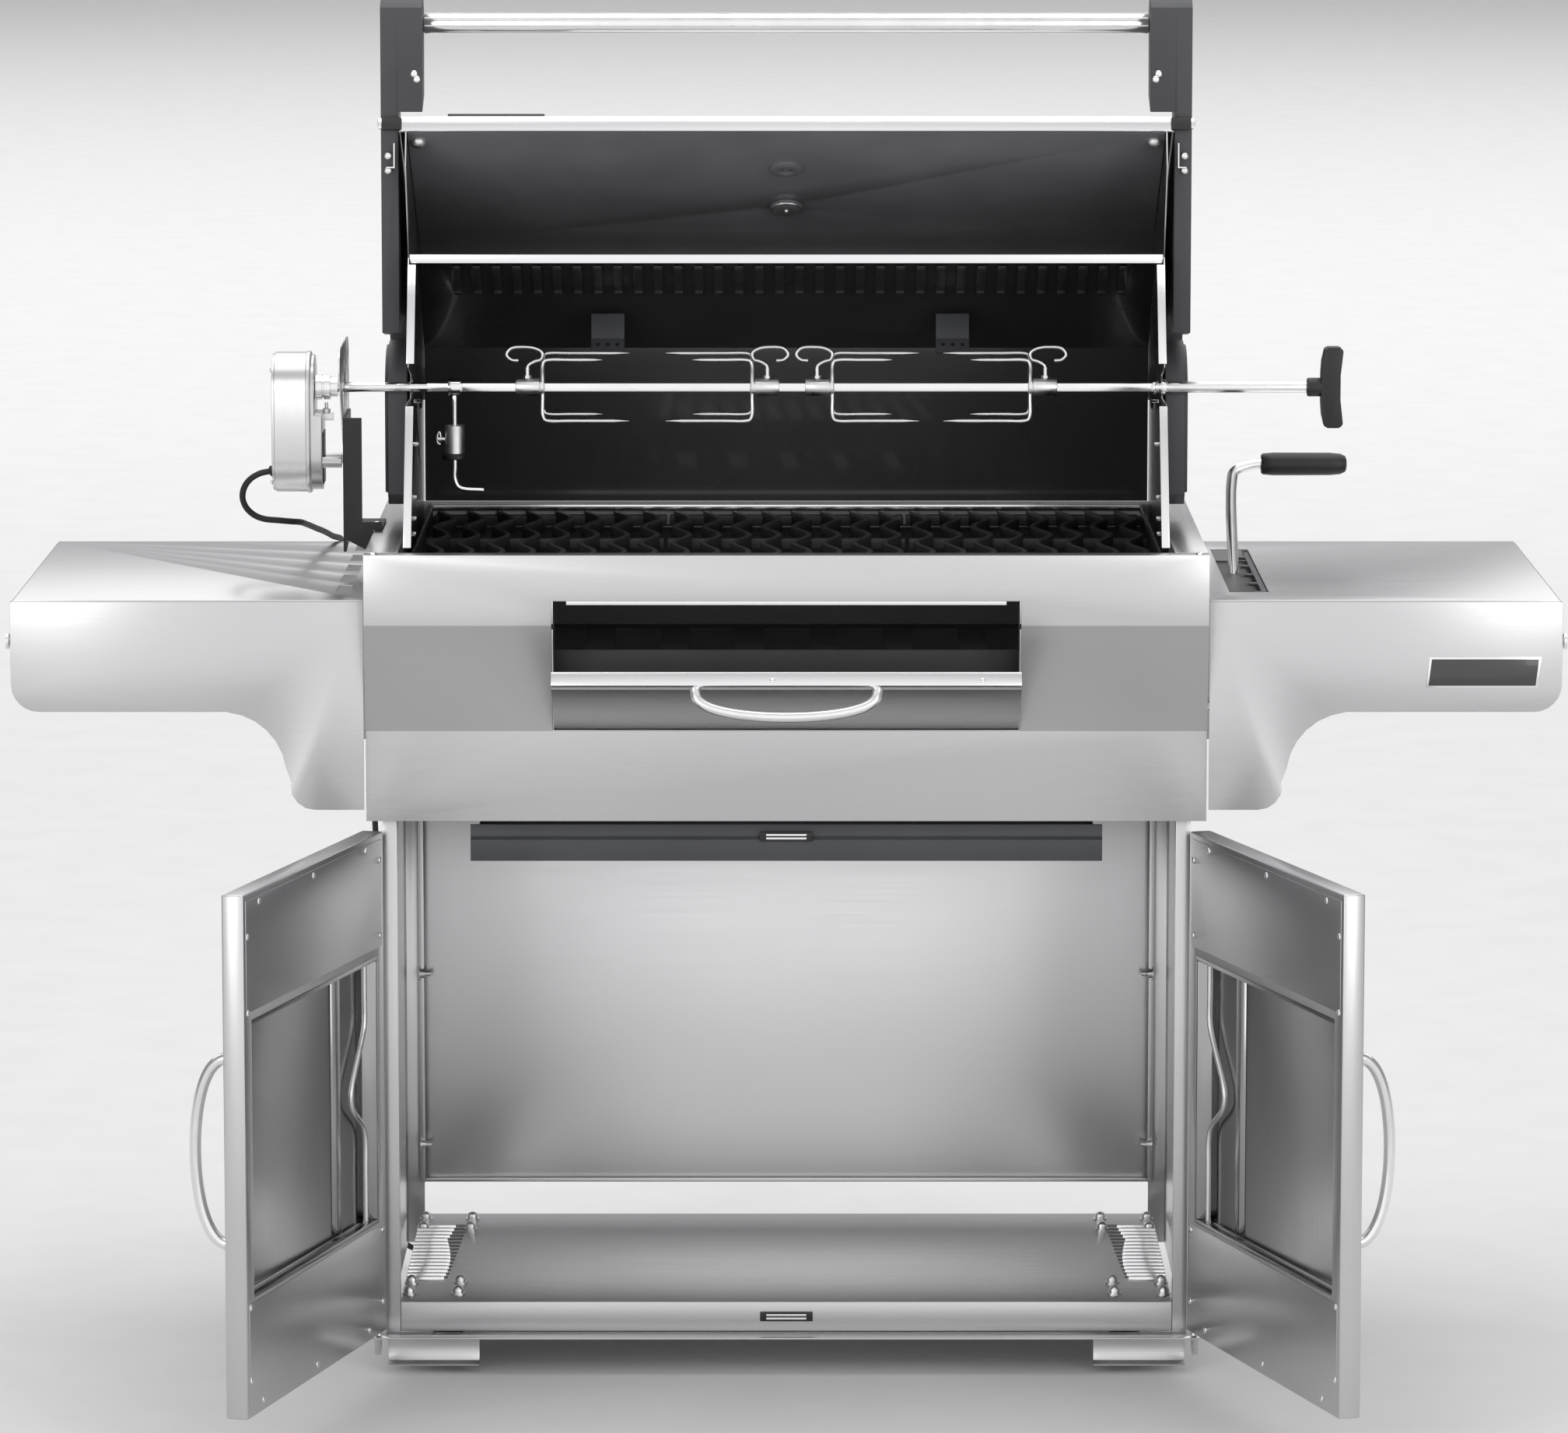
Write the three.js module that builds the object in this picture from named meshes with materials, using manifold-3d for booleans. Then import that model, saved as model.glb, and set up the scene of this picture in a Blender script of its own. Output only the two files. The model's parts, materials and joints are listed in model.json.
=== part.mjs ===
// Large stainless charcoal cart grill with an open roll-top lid, a fitted rotisserie spit and motor,
// a charcoal-bed height lever, a charcoal door, an ash pan and a two-door cabinet on casters.
// Millimetres, +Z up, -Y is the front. Origin: middle of the footprint, on the floor.
import * as THREE from 'three';
import { mergeVertices } from 'three/addons/utils/BufferGeometryUtils.js';
import Module from 'manifold-3d';

const wasm = await Module();
wasm.setup();

// ---------- driving dimensions ----------
const SHEET = 1.5;            // sheet steel
const GAP = 0.4;              // clearance kept between pieces that touch
const BODY_X = 457;           // half width of the firebox body
const DECK_Z = 912;           // top of the body
const BODY_BOTTOM = 617;      // bottom of the fascia, top of the cabinet
const FRONT = { top: -290, bottom: -262, bendHigh: 835, bendLow: 716 };
const BACK_Y = 240;           // back of the body
const SHELF = { top: 860, inner: 459, outer: 841.5, y: 266.5, apron: 737.5 };
const MOUTH = { x: 254, low: 716, high: 862 };
const CABINET = { x: 441, front: -240, back: 235, floor: 78, rail: 45, sill: 43 };
const DOOR = { axisX: 449, axisY: -252, face: -13.5, width: 447, thick: 24, low: 50, high: 605 };
const DOOR_OPEN = { left: 106, right: 108 };
const PIVOT = { y: 31, z: 1053 };
const SPIT = { y: -40, z: 1069 };
const LID_OPEN = 96;
const WALL_X = 416;           // outer face of the hood's side walls
const GRATE_TOP = 903;
const CASTER = { x: 376, y: 172, wheel: 25, trail: 18 };
const LEVER = { x: 504.5, y: 0, z: 710, length: 292, lean: 30 };
const COALS_DOOR = { y: -264, z: 719, open: 62, height: 139, half: 252 };

// ---------- finishes ----------
const finish = (color, roughness, metalness) =>
  new THREE.MeshStandardMaterial({ color, roughness, metalness });
const STEEL = finish(0xd2d3d5, 0.35, 1);
const CHROME = finish(0xe6e6e8, 0.12, 1);
const ENAMEL = finish(0x26272a, 0.25, 0.2);
const CAST_GREY = finish(0x47484b, 0.6, 0.3);
const IRON = finish(0x2b2c2e, 0.75, 0.4);
const DARK_PAINT = finish(0x3b3d41, 0.5, 0.2);
const BLACK_PLASTIC = finish(0x17181a, 0.55, 0);
const RUBBER = finish(0x141416, 0.85, 0);

// ---------- solids ----------
const rad = THREE.MathUtils.degToRad;
const V = (x, y, z) => new THREE.Vector3(x, y, z);
const ALONG_X = new THREE.Matrix4().makeBasis(V(0, 1, 0), V(0, 0, 1), V(1, 0, 0));
const ALONG_Y = new THREE.Matrix4().makeBasis(V(1, 0, 0), V(0, 0, 1), V(0, -1, 0));

function solid(geometry) {
  const bare = geometry.index ? geometry.toNonIndexed() : geometry;
  const points = new THREE.BufferGeometry();
  points.setAttribute('position', bare.getAttribute('position'));
  const merged = mergeVertices(points, 1e-4);
  const vertProperties = merged.attributes.position.array;
  const faces = new Uint32Array(merged.index.array);
  const enclose = () => new wasm.Manifold(new wasm.Mesh({ numProp: 3, vertProperties, triVerts: faces }));
  const made = enclose();
  if (made.volume() > 0) return made;
  for (let i = 0; i < faces.length; i += 3) {
    [faces[i + 1], faces[i + 2]] = [faces[i + 2], faces[i + 1]];
  }
  return enclose();
}

function geometryOf(made) {
  const mesh = made.getMesh();
  const geometry = new THREE.BufferGeometry();
  geometry.setAttribute('position', new THREE.BufferAttribute(mesh.vertProperties, 3));
  geometry.setIndex(new THREE.BufferAttribute(mesh.triVerts, 1));
  return geometry;
}

const join = (...solids) => solids.reduce((a, b) => a.add(b));
const cut = (from, ...tools) => tools.reduce((a, b) => a.subtract(b), from);

// A block between two corners.
function block(x0, x1, y0, y1, z0, z1) {
  const box = new THREE.BoxGeometry(x1 - x0, y1 - y0, z1 - z0);
  return solid(box.translate((x0 + x1) / 2, (y0 + y1) / 2, (z0 + z1) / 2));
}

const outline = (points) => new THREE.Shape(points.map(([a, b]) => new THREE.Vector2(a, b)));
const extrude = (shape, depth, curveSegments = 6) =>
  new THREE.ExtrudeGeometry(shape, { depth, bevelEnabled: false, curveSegments });
const asShape = (points) => (Array.isArray(points) ? outline(points) : points);

// Prisms of an outline given in (y, z), (x, z) or (x, y).
const prismX = (points, x0, x1) =>
  solid(extrude(asShape(points), x1 - x0).applyMatrix4(ALONG_X).translate(x0, 0, 0));
const prismY = (points, y0, y1) =>
  solid(extrude(asShape(points), y1 - y0).applyMatrix4(ALONG_Y).translate(0, y1, 0));
const prismZ = (points, z0, z1) =>
  solid(extrude(asShape(points), z1 - z0).translate(0, 0, z0));

// The closed outline of a sheet bent along a line, its thickness laid to the left of the line.
function bent(line, thickness = SHEET) {
  const p = line.map(([a, b]) => new THREE.Vector2(a, b));
  const along = p.slice(1).map((q, i) => q.clone().sub(p[i]).normalize());
  const side = along.map((d) => new THREE.Vector2(-d.y, d.x));
  const inner = p.map((q, i) => {
    const a = side[Math.max(i - 1, 0)];
    const b = side[Math.min(i, side.length - 1)];
    const mitre = a.clone().add(b).normalize();
    return q.clone().addScaledVector(mitre, thickness / mitre.dot(b));
  });
  return [...p, ...inner.reverse()].map((q) => [q.x, q.y]);
}

// Points on an arc, angles in degrees.
function arc(cx, cy, r, from, to, steps) {
  return Array.from({ length: steps + 1 }, (_, i) => {
    const a = rad(from + ((to - from) * i) / steps);
    return [cx + r * Math.cos(a), cy + r * Math.sin(a)];
  });
}

const ring = (r, sides) => outline(arc(0, 0, r, 0, 360, sides).slice(0, sides));

// A round bar or tube along a smooth curve through points.
function bar(points, r, { sides = 8, steps = 12, type = 'centripetal' } = {}) {
  const curve = new THREE.CatmullRomCurve3(points, false, type);
  return solid(new THREE.ExtrudeGeometry(ring(r, sides), {
    steps, bevelEnabled: false, extrudePath: curve,
  }));
}

// A turned piece: profile in (radius, height), from axis to axis, standing along an axis.
function turned(profile, axis = 'z', sides = 16) {
  const lathe = new THREE.LatheGeometry(profile.map(([r, h]) => new THREE.Vector2(r, h)), sides);
  if (axis === 'z') lathe.rotateX(Math.PI / 2);
  if (axis === 'x') lathe.rotateZ(-Math.PI / 2);
  return lathe;
}
const disc = (r, h0, h1, axis, sides) => turned([[0, h0], [r, h0], [r, h1], [0, h1]], axis, sides);
const rodX = (x0, x1, y, z, r, sides = 12) => solid(disc(r, x0, x1, 'x', sides).translate(0, y, z));
const rodY = (y0, y1, x, z, r, sides = 12) => solid(disc(r, y0, y1, 'y', sides).translate(x, 0, z));
const rodZ = (z0, z1, x, y, r, sides = 12) => solid(disc(r, z0, z1, 'z', sides).translate(x, y, 0));

const mirror = (made) => made.mirror([1, 0, 0]);

// ---------- scene graph ----------
const grill = new THREE.Group();

function frameAt(parent, x, y, z) {
  const group = new THREE.Group();
  group.position.set(x, y, z);
  parent.add(group);
  return group;
}

function piece(name, made, material, parent = grill) {
  const mesh = new THREE.Mesh(geometryOf(made), material);
  mesh.name = name;
  parent.add(mesh);
  return mesh;
}

// ---------- cabinet ----------
function cabinetSide() {
  const { x, front, back, sill } = CABINET;
  const depth = 16;
  const post = [
    [-x + depth, front + 18], [-x + depth, front], [-x, front], [-x, back], [-x + 21, back],
  ];
  return prismZ(bent(post.reverse(), SHEET), sill + GAP, BODY_BOTTOM - GAP);
}

function cabinet() {
  const { x, front, back, floor, rail, sill } = CABINET;
  const side = cabinetSide();
  piece('cabinet_left_side', side, STEEL);
  piece('cabinet_right_side', mirror(side), STEEL);
  piece('cabinet_back', block(-x + 2, x - 2, back + GAP, back + GAP + SHEET, 116, BODY_BOTTOM - GAP), STEEL);
  const tray = bent([[back - 4, floor], [front - 0.5, floor], [front - 0.5, rail]], 3);
  const clearX = x - 16 - GAP;
  piece('cabinet_floor', prismX(tray, -clearX, clearX), STEEL);
  const ledge = block(-455, 455, -266, front + 4, sill - 2, sill);
  const skirtLine = [[front - 1, sill - 1], [front - 1, 20], [front - 4, 13], [front - 12, 10]];
  const skirt = (x0, x1) => prismX(bent(skirtLine, 2), x0, x1);
  const pin = (px) => rodZ(22, DOOR.low - GAP, px, DOOR.axisY, 4, 8);
  piece('door_sill', join(ledge, skirt(-439, -338), skirt(338, 439), pin(-DOOR.axisX), pin(DOOR.axisX)), STEEL);
}

// ---------- casters ----------
function casterYoke() {
  const crown = rodZ(62, 71.5, 0, 0, 27, 16);
  const cheek = [[-20, 62.5], [16, 62.5], [CASTER.trail + 7, 25], ...arc(CASTER.trail, 25, 8, 0, -180, 4), [CASTER.trail - 9, 25]];
  const plate = (x0) => prismX(cheek, x0, x0 + 3);
  const axle = rodX(-18, 18, CASTER.trail, CASTER.wheel, 3, 8);
  return join(crown, plate(-17), plate(14), axle);
}

// The tread stands on a flat of its rim, so its flats, not its corners, lie at the wheel's radius.
function casterWheel() {
  const sides = 20;
  const r = CASTER.wheel / Math.cos(Math.PI / sides);
  const tyre = [[3.5, -11], [r - 3, -11], [r, -8], [r, 8], [r - 3, 11], [3.5, 11], [3.5, -11]];
  return solid(turned(tyre, 'x', sides).rotateX(Math.PI / sides));
}

function casters() {
  const places = { front_left: [-1, -1], front_right: [1, -1], rear_left: [-1, 1], rear_right: [1, 1] };
  for (const [name, [sx, sy]] of Object.entries(places)) {
    const swivel = frameAt(grill, sx * CASTER.x, sy * CASTER.y, 0);
    piece(`caster_yoke_${name}`, casterYoke(), STEEL, swivel);
    const hub = frameAt(swivel, 0, CASTER.trail, CASTER.wheel);
    piece(`caster_wheel_${name}`, casterWheel(), RUBBER, hub);
  }
}

// ---------- firebox and body ----------
const bodyFront = [
  [FRONT.top, DECK_Z - 0.5], [FRONT.top, FRONT.bendHigh],
  [FRONT.bottom, FRONT.bendLow], [FRONT.bottom, BODY_BOTTOM],
];

function fascia() {
  const line = [[FRONT.top + 24, DECK_Z - 0.5], ...bodyFront, [FRONT.bottom + 18, BODY_BOTTOM]];
  const skin = prismX(bent(line), -BODY_X, BODY_X);
  return cut(skin, block(-MOUTH.x, MOUTH.x, -300, -250, MOUTH.low, MOUTH.high));
}

function bodyShell() {
  const inset = SHEET + GAP;
  const low = BODY_BOTTOM + inset;
  const end = [
    ...bodyFront.slice(0, 3).map(([y, z]) => [y + inset + 0.3, z - inset]),
    [FRONT.bottom + inset + 0.3, low], [BACK_Y, low], [BACK_Y, DECK_Z - inset],
  ];
  const endPanel = prismX(end, -BODY_X, -BODY_X + SHEET);
  const deckFront = FRONT.top + 26;
  const deck = block(-BODY_X, -421, deckFront, BACK_Y, DECK_Z - 2, DECK_Z - 0.5);
  const riser = block(-BODY_X, -BODY_X + SHEET, deckFront, BACK_Y, DECK_Z - 6, DECK_Z - 0.5);
  const left = join(endPanel, deck, riser);
  const back = block(-BODY_X, BODY_X, BACK_Y - SHEET, BACK_Y, low, DECK_Z - 2);
  return cut(join(left, mirror(left), back), rodX(450, 460, LEVER.y, LEVER.z, 8));
}

const FIREBOX = { x: 406, front: -257, back: 214, low: 640, high: 908 };

function firebox() {
  const { x, front, back, low, high } = FIREBOX;
  const wall = SHEET;
  const tub = cut(
    block(-x, x, front, back, low, high),
    block(-x + wall, x - wall, front + wall, back - wall, low + wall, high + 10),
    block(-MOUTH.x + 2, MOUTH.x - 2, front - 10, front + 10, MOUTH.low, MOUTH.high),
    block(-320, 320, -190, 170, low - 10, low + 10),
    rodX(x - 10, x + 10, LEVER.y, LEVER.z, 8),
  );
  const ledge = (y0, y1) => block(-x + 1, x - 1, y0, y1, GRATE_TOP - 20, GRATE_TOP - 17);
  const rearShelf = block(-x, x, back - 1, 232, high - 1.5, high);
  return join(tub, ledge(front + 1, front + 14), ledge(back - 14, back - 1), rearShelf);
}

// One cast grate: wavy bars running front to back, tied by cross bars.
function grate(width) {
  const y0 = -252;
  const y1 = 209;
  const low = GRATE_TOP - 16.5;
  const bars = 8;
  const waves = 3;
  const pitch = width / bars;
  const swing = pitch * 0.26;
  const half = 3.2;
  const wavy = (cx) => {
    const side = (offset) => Array.from({ length: waves * 2 + 1 }, (_, i) => {
      const t = i / (waves * 2);
      return [cx + offset + swing * (i % 2 ? 1 : -1), y0 + (y1 - y0) * t];
    });
    return prismZ([...side(-half).reverse(), ...side(half)].reverse(), low, GRATE_TOP);
  };
  const ties = [y0 + 5, (y0 + y1) / 2, y1 - 5].map((y) =>
    block(-width / 2 + 1, width / 2 - 1, y - 5, y + 5, low, GRATE_TOP - 5));
  const lengthwise = Array.from({ length: bars }, (_, i) => wavy(-width / 2 + pitch * (i + 0.5)));
  return join(...ties, ...lengthwise);
}

function grates() {
  const width = 267;
  ['left', 'middle', 'right'].forEach((side, i) => {
    piece(`grate_${side}`, grate(width), IRON, frameAt(grill, (i - 1) * (width + 2), 0, 0));
  });
}

// Charcoal bed: a shallow slotted pan that rides up and down inside the firebox.
const BED = { x: 385, front: -225, back: 190, low: 772, high: 800 };

function charcoalTray() {
  const { x, front, back, low, high } = BED;
  const pan = cut(
    block(-x, x, front, back, low, high),
    block(-x + 2, x - 2, front + 2, back - 2, low + 2, high + 5),
  );
  const slots = [];
  for (let i = 0; i < 9; i += 1) {
    const cx = -336 + i * 84;
    slots.push(block(cx - 26, cx + 26, front + 40, back - 40, low - 5, low + 5));
  }
  return cut(pan, ...slots);
}

// ---------- lever that lifts the charcoal bed ----------
function lever() {
  const { x, y, z, length, lean } = LEVER;
  const group = frameAt(grill, 0, y, z);
  group.rotation.x = rad(-lean);
  const bend = 26;
  const path = [
    V(x, 0, 0), V(x, 0, length * 0.5), V(x, 0, length - bend), V(x + 4, 0, length - bend * 0.35),
    V(x + bend * 0.65, 0, length - 3), V(x + bend + 8, 0, length), V(x + 60, 0, length),
  ];
  const tube = bar(path, 6.2, { sides: 10, steps: 22 });
  const shaft = rodX(388, x + 8, 0, 0, 6);
  const hub = rodX(x - 9, x + 9, 0, 0, 11);
  const crank = bar([V(392, 0, 0), V(392, 24, 5), V(392, 48, 10)], 5, { sides: 6, steps: 2 });
  const grip = [[7, 0], [11.5, 0], [13, 12], [13, 80], [10, 97], [0, 97], [0, 62], [7, 62], [7, 0]];
  const gripAt = x + bend + 8;
  const stop = rodX(x + 50, x + 70, 0, length, 20);
  piece('lever_arm', join(cut(tube, stop), shaft, hub, crank), CHROME, group);
  piece('lever_grip', solid(turned(grip, 'x', 16).translate(gripAt, 0, length)), BLACK_PLASTIC, group);
}

// ---------- charcoal door ----------
function charcoalDoor() {
  const { y, z, open, height, half } = COALS_DOOR;
  const group = frameAt(grill, 0, y, z);
  group.rotation.x = rad(open);
  const panel = bent([[14, height], [0, height], [0, 0], [5.5, 0]]);
  const cheekShape = [[0.5, 1], [5, 1], [8, 30], [12, height - 8], [0.5, height - 1]];
  const cheek = (x0) => prismX(cheekShape, x0, x0 + 1.5);
  const leaf = join(
    prismX(panel, -half, half), cheek(-half + 1), cheek(half - 2.5),
    prismX([[0.5, 0.5], [5, 0.5], [5, 3], [3, 5], [0.5, 5]], -half + 1, half - 1),
  );
  piece('charcoal_door', leaf, STEEL, group);
  const bow = [];
  for (let i = 0; i <= 8; i += 1) {
    const a = Math.PI * (i / 8);
    bow.push(V(-98 * Math.cos(a), -32 * Math.sin(a) ** 0.7, height * 0.9));
  }
  const handle = cut(bar(bow, 6.2, { sides: 8, steps: 20 }), block(-120, 120, -GAP, 20, 0, height));
  piece('charcoal_door_handle', handle, CHROME, group);
}

// ---------- ash pan ----------
function ashPan() {
  const pan = cut(
    block(-336, 336, -232, 205, 574, 607),
    block(-334.5, 334.5, -230.5, 203.5, 576, 620),
  );
  const front = bent([[-233, 609], [-233, 596], [-236.5, 592], [-236.5, 569], [-229, 568]], SHEET);
  return join(pan, prismX(front, -345, 345));
}

// ---------- hood: fixed back half of the roll top ----------
const HOOD_BACK = [[-92, 1220], [60, 1203], [150, 1155], [200, 1110], [233, 1088], [233, 911]];
const HOOD_FRONT = { low: [-249, 914], high: [-97, 1209] };

function spitSlot(x0, x1) {
  const seat = arc(SPIT.y, SPIT.z, 10.5, -90, 75, 8);
  const slot = [...seat, [-140, SPIT.z + 34], [-260, SPIT.z + 60], [-260, SPIT.z - 10], [-160, SPIT.z - 7]];
  return prismX(slot, x0, x1);
}

function hoodWall() {
  const inner = HOOD_BACK.map(([y, z]) => [y - 2 - GAP, z - 2 - GAP]);
  const profile = [HOOD_FRONT.low, [-245, 890], [211, 890], [211, 912], [230, 912], ...inner.slice(0, -1).reverse()];
  const wall = prismX(profile, WALL_X - SHEET, WALL_X);
  const flange = prismX(bent([HOOD_FRONT.low, HOOD_FRONT.high], 2), WALL_X - 9, WALL_X);
  const slot = spitSlot(WALL_X - 20, WALL_X + 5);
  const notch = block(WALL_X - 20, WALL_X + 5, -240, -120, 1068, 1104);
  return cut(join(wall, flange), slot, notch);
}

function endCasting() {
  const r = 62;
  const dome = arc(PIVOT.y, PIVOT.z, r, 0, 180, 14);
  const body = prismX([...dome, [PIVOT.y - r, 948], [PIVOT.y - r + 12, 936], [PIVOT.y + r - 12, 936], [PIVOT.y + r, 948]], 421, 443);
  const face = prismX([...arc(PIVOT.y, PIVOT.z, r - 5, 0, 180, 14), [PIVOT.y - r + 5, 950], [PIVOT.y + r - 5, 950]], 442, 446);
  const foot = block(WALL_X + GAP, 430, PIVOT.y - 40, PIVOT.y + 40, 938, 962);
  const pin = rodX(WALL_X + GAP, 430, PIVOT.y, PIVOT.z, 8, 16);
  return join(body, face, foot, pin);
}

function hood() {
  const lip = [[-93.5, 1211], [-93.5, 1220.5], ...HOOD_BACK];
  piece('hood_back', prismX(bent(lip.reverse(), 2), -WALL_X + 2.2, WALL_X - 2.2), ENAMEL);
  const wall = hoodWall();
  piece('hood_right_wall', wall, STEEL);
  piece('hood_left_wall', mirror(wall), STEEL);
  const casting = endCasting();
  piece('right_end_casting', casting, CAST_GREY);
  piece('left_end_casting', mirror(casting), CAST_GREY);
}

// ---------- lid, drawn closed about its pivot and swung open ----------
const LEAN = 68;              // lean of the closed lid's flat front face
const RIM = [-304, -130];     // lower front edge of the closed lid
const FLAT = 310;             // height of that flat face, along it
const CROWN_R = 130;
const RIM_DEPTH = 17;
const TAIL = 40;              // straight run behind the crown
const GAUGE_AT = 202;         // thermometer, from the rim along the face

const facePoint = (along, inward = 0) => [
  RIM[0] + along * Math.cos(rad(LEAN)) + inward * Math.sin(rad(LEAN)),
  RIM[1] + along * Math.sin(rad(LEAN)) - inward * Math.cos(rad(LEAN)),
];

function crown(inward, to) {
  const [cx, cy] = facePoint(FLAT, CROWN_R);
  return arc(cx, cy, CROWN_R - inward, 90 + LEAN, to, 8);
}

// The skin's outer line, from its rear edge over the crown and down the face to the rim's lip.
function lidSkinLine() {
  const rearSlope = 75;
  const round = crown(0, rearSlope);
  const [ex, ey] = round[round.length - 1];
  const tail = [ex + TAIL * Math.sin(rad(rearSlope)), ey - TAIL * Math.cos(rad(rearSlope))];
  return [tail, ...round.reverse(), facePoint(0), facePoint(0, RIM_DEPTH)];
}

function lidShell() {
  const line = lidSkinLine();
  const skin = prismX(bent(line, SHEET), -426, 426);
  const [tail] = line;
  const hubR = 45;
  const clearR = 112;
  const plate = [
    ...line.slice(0, -1), facePoint(2, RIM_DEPTH + 40),
    ...arc(0, 0, clearR, 206, 140, 6), ...arc(0, 0, hubR, 140, 360, 12),
    [hubR, 20], [tail[0] - 1, tail[1] - 40],
  ];
  const hole = rodX(400, 440, 0, 0, 8.6, 16);
  const right = cut(prismX(plate, 417.4, 418.9), hole);
  const gaugeHole = solid(onFace(disc(5, -30, 10, 'y', 12)));
  return cut(join(skin, right, mirror(right)), gaugeHole);
}

function lidLiner() {
  const depth = RIM_DEPTH - 1.5;
  const face = [facePoint(3, depth), facePoint(FLAT, depth)];
  const line = [...crown(depth, 110).reverse(), face[0]];
  const gaugeHole = solid(onFace(disc(5, -30, 10, 'y', 12)));
  return cut(prismX(bent(line, SHEET), -416.8, 416.8), gaugeHole);
}

function lidCasting() {
  const nose = [[-424, -144], [-435, -130], [-435, -104], [-424, -90], [-330, -70]];
  const back = crown(-6, 80);
  const body = [
    [-68, -107], ...nose, facePoint(60, -7), ...back,
    [8, 200], ...arc(0, 0, 90, 92, 222, 12),
  ];
  const plate = prismX(body, 427, 446);
  const bracket = prismX([[-310, -134], ...nose.slice(0, 4), [-330, -90]], 400, 428);
  return join(plate, bracket);
}

// Stands a turned piece on the lid's face at the gauge's place, its axis square to the face.
function onFace(geometry) {
  const [y, z] = facePoint(GAUGE_AT);
  return geometry.rotateX(rad(90 + LEAN)).translate(0, y, z);
}

function lid() {
  const group = frameAt(grill, 0, PIVOT.y, PIVOT.z);
  group.rotation.x = rad(-LID_OPEN);
  piece('lid_shell', lidShell(), STEEL, group);
  piece('lid_liner', lidLiner(), ENAMEL, group);
  const casting = lidCasting();
  piece('lid_right_casting', casting, CAST_GREY, group);
  piece('lid_left_casting', mirror(casting), CAST_GREY, group);
  piece('lid_handle', rodX(-400 + GAP, 400 - GAP, -408, -114, 11, 16), CHROME, group);
  const gauge = [
    [0, -25.5], [2.5, -25.5], [2.5, -23], [18, -22.5], [18, -17.6], [4, -17.6], [4, GAP], [26, GAP], [26, 14], [0, 16],
  ];
  piece('thermometer', solid(onFace(turned(gauge, 'y', 18))), CHROME, group);
}

// ---------- side shelves ----------
function shelfBlank() {
  const { top, inner, outer, apron } = SHELF;
  return [
    [inner, top], [outer - 4, top], [outer, top - 4],
    ...arc(outer - 30, apron + 30, 30, 0, -90, 6),
    [607, apron], ...arc(614, apron - 71, 71, 96, 172, 6),
    [537, 658], ...arc(513, 656, 26, 0, -90, 4), [inner, 630],
  ];
}

function shelf(openings) {
  const { top, inner, outer, y } = SHELF;
  const full = shelfBlank();
  const apronFront = prismY(full, -y, -y + SHEET);
  const apronBack = prismY(full, y - SHEET, y);
  const topSheet = block(inner, outer - 4, -y, y, top - SHEET, top);
  const endLine = [[outer - 5, top], [outer - 4, top], [outer, top - 4], [outer, SHELF.apron + 30]];
  const end = prismY(bent(endLine.reverse()), -y, y);
  return cut(join(apronFront, apronBack, topSheet, end), ...openings);
}

function shelves() {
  const { top, y, outer } = SHELF;
  const pitch = 93;
  const handleSlots = [-2, -1, 0, 1, 2].map((i) =>
    block(477, 492, i * pitch + 19 - 30, i * pitch + 19 + 30, top - 10, top + 10));
  piece('shelf_left', mirror(shelf(handleSlots)), STEEL);
  const leverSlot = block(484, 527, -198, 194, top - 10, top + 10);
  piece('shelf_right', shelf([leverSlot]), STEEL);
  const notch = 78;
  const rail = block(521, 535, -206, 202, top - 6, top - 3);
  const fingers = [-2, -1, 0, 1, 2].map((i) =>
    block(512, 522, i * notch - 18, i * notch - 8, top - 6, top - 3));
  piece('lever_gate', join(rail, ...fingers), DARK_PAINT);
  const knob = turned([[0, 0], [4, 0], [4, 3], [9, 5], [9, 8], [0, 8.5]], 'x', 14);
  const endKnob = solid(knob.translate(outer + 0.3, -y + 40, top - 50));
  piece('shelf_knob_right', endKnob, CHROME);
  piece('shelf_knob_left', mirror(endKnob), CHROME);
}

// ---------- cabinet doors ----------
function doorLeaf() {
  const { width, thick, low, high } = DOOR;
  const leaf = block(2, width, 0, thick, low, high);
  const recess = prismX([[7, 176], [7, 470], [40, 470], [40, 176]], 26, width - 24);
  return cut(leaf, recess);
}

function doorHandle() {
  const { width, low, high } = DOOR;
  const mid = (low + high) / 2;
  const points = [];
  for (let i = 0; i <= 8; i += 1) {
    const a = Math.PI * (i / 8);
    points.push(V(width - 34, 2 - 46 * Math.sin(a) ** 0.7, mid - 100 * Math.cos(a)));
  }
  return cut(bar(points, 6.2, { sides: 8, steps: 20 }), block(0, 500, -GAP, 20, low, high));
}

function doors() {
  for (const [side, sign] of [['left', -1], ['right', 1]]) {
    const group = frameAt(grill, sign * DOOR.axisX, DOOR.axisY, 0);
    group.rotation.z = rad(sign * DOOR_OPEN[side]);
    const turn = (made) => (sign < 0 ? made : mirror(made));
    const offset = [0, DOOR.face, 0];
    piece(`door_${side}`, turn(doorLeaf().translate(offset)), STEEL, group);
    piece(`door_${side}_handle`, turn(doorHandle().translate(offset)), CHROME, group);
  }
}

// ---------- rotisserie ----------
const COUNTERWEIGHT_X = -368;
const FORKS = [['fork_1', -300, true], ['fork_2', -8, false], ['fork_3', 21, true], ['fork_4', 300, false]];

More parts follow.
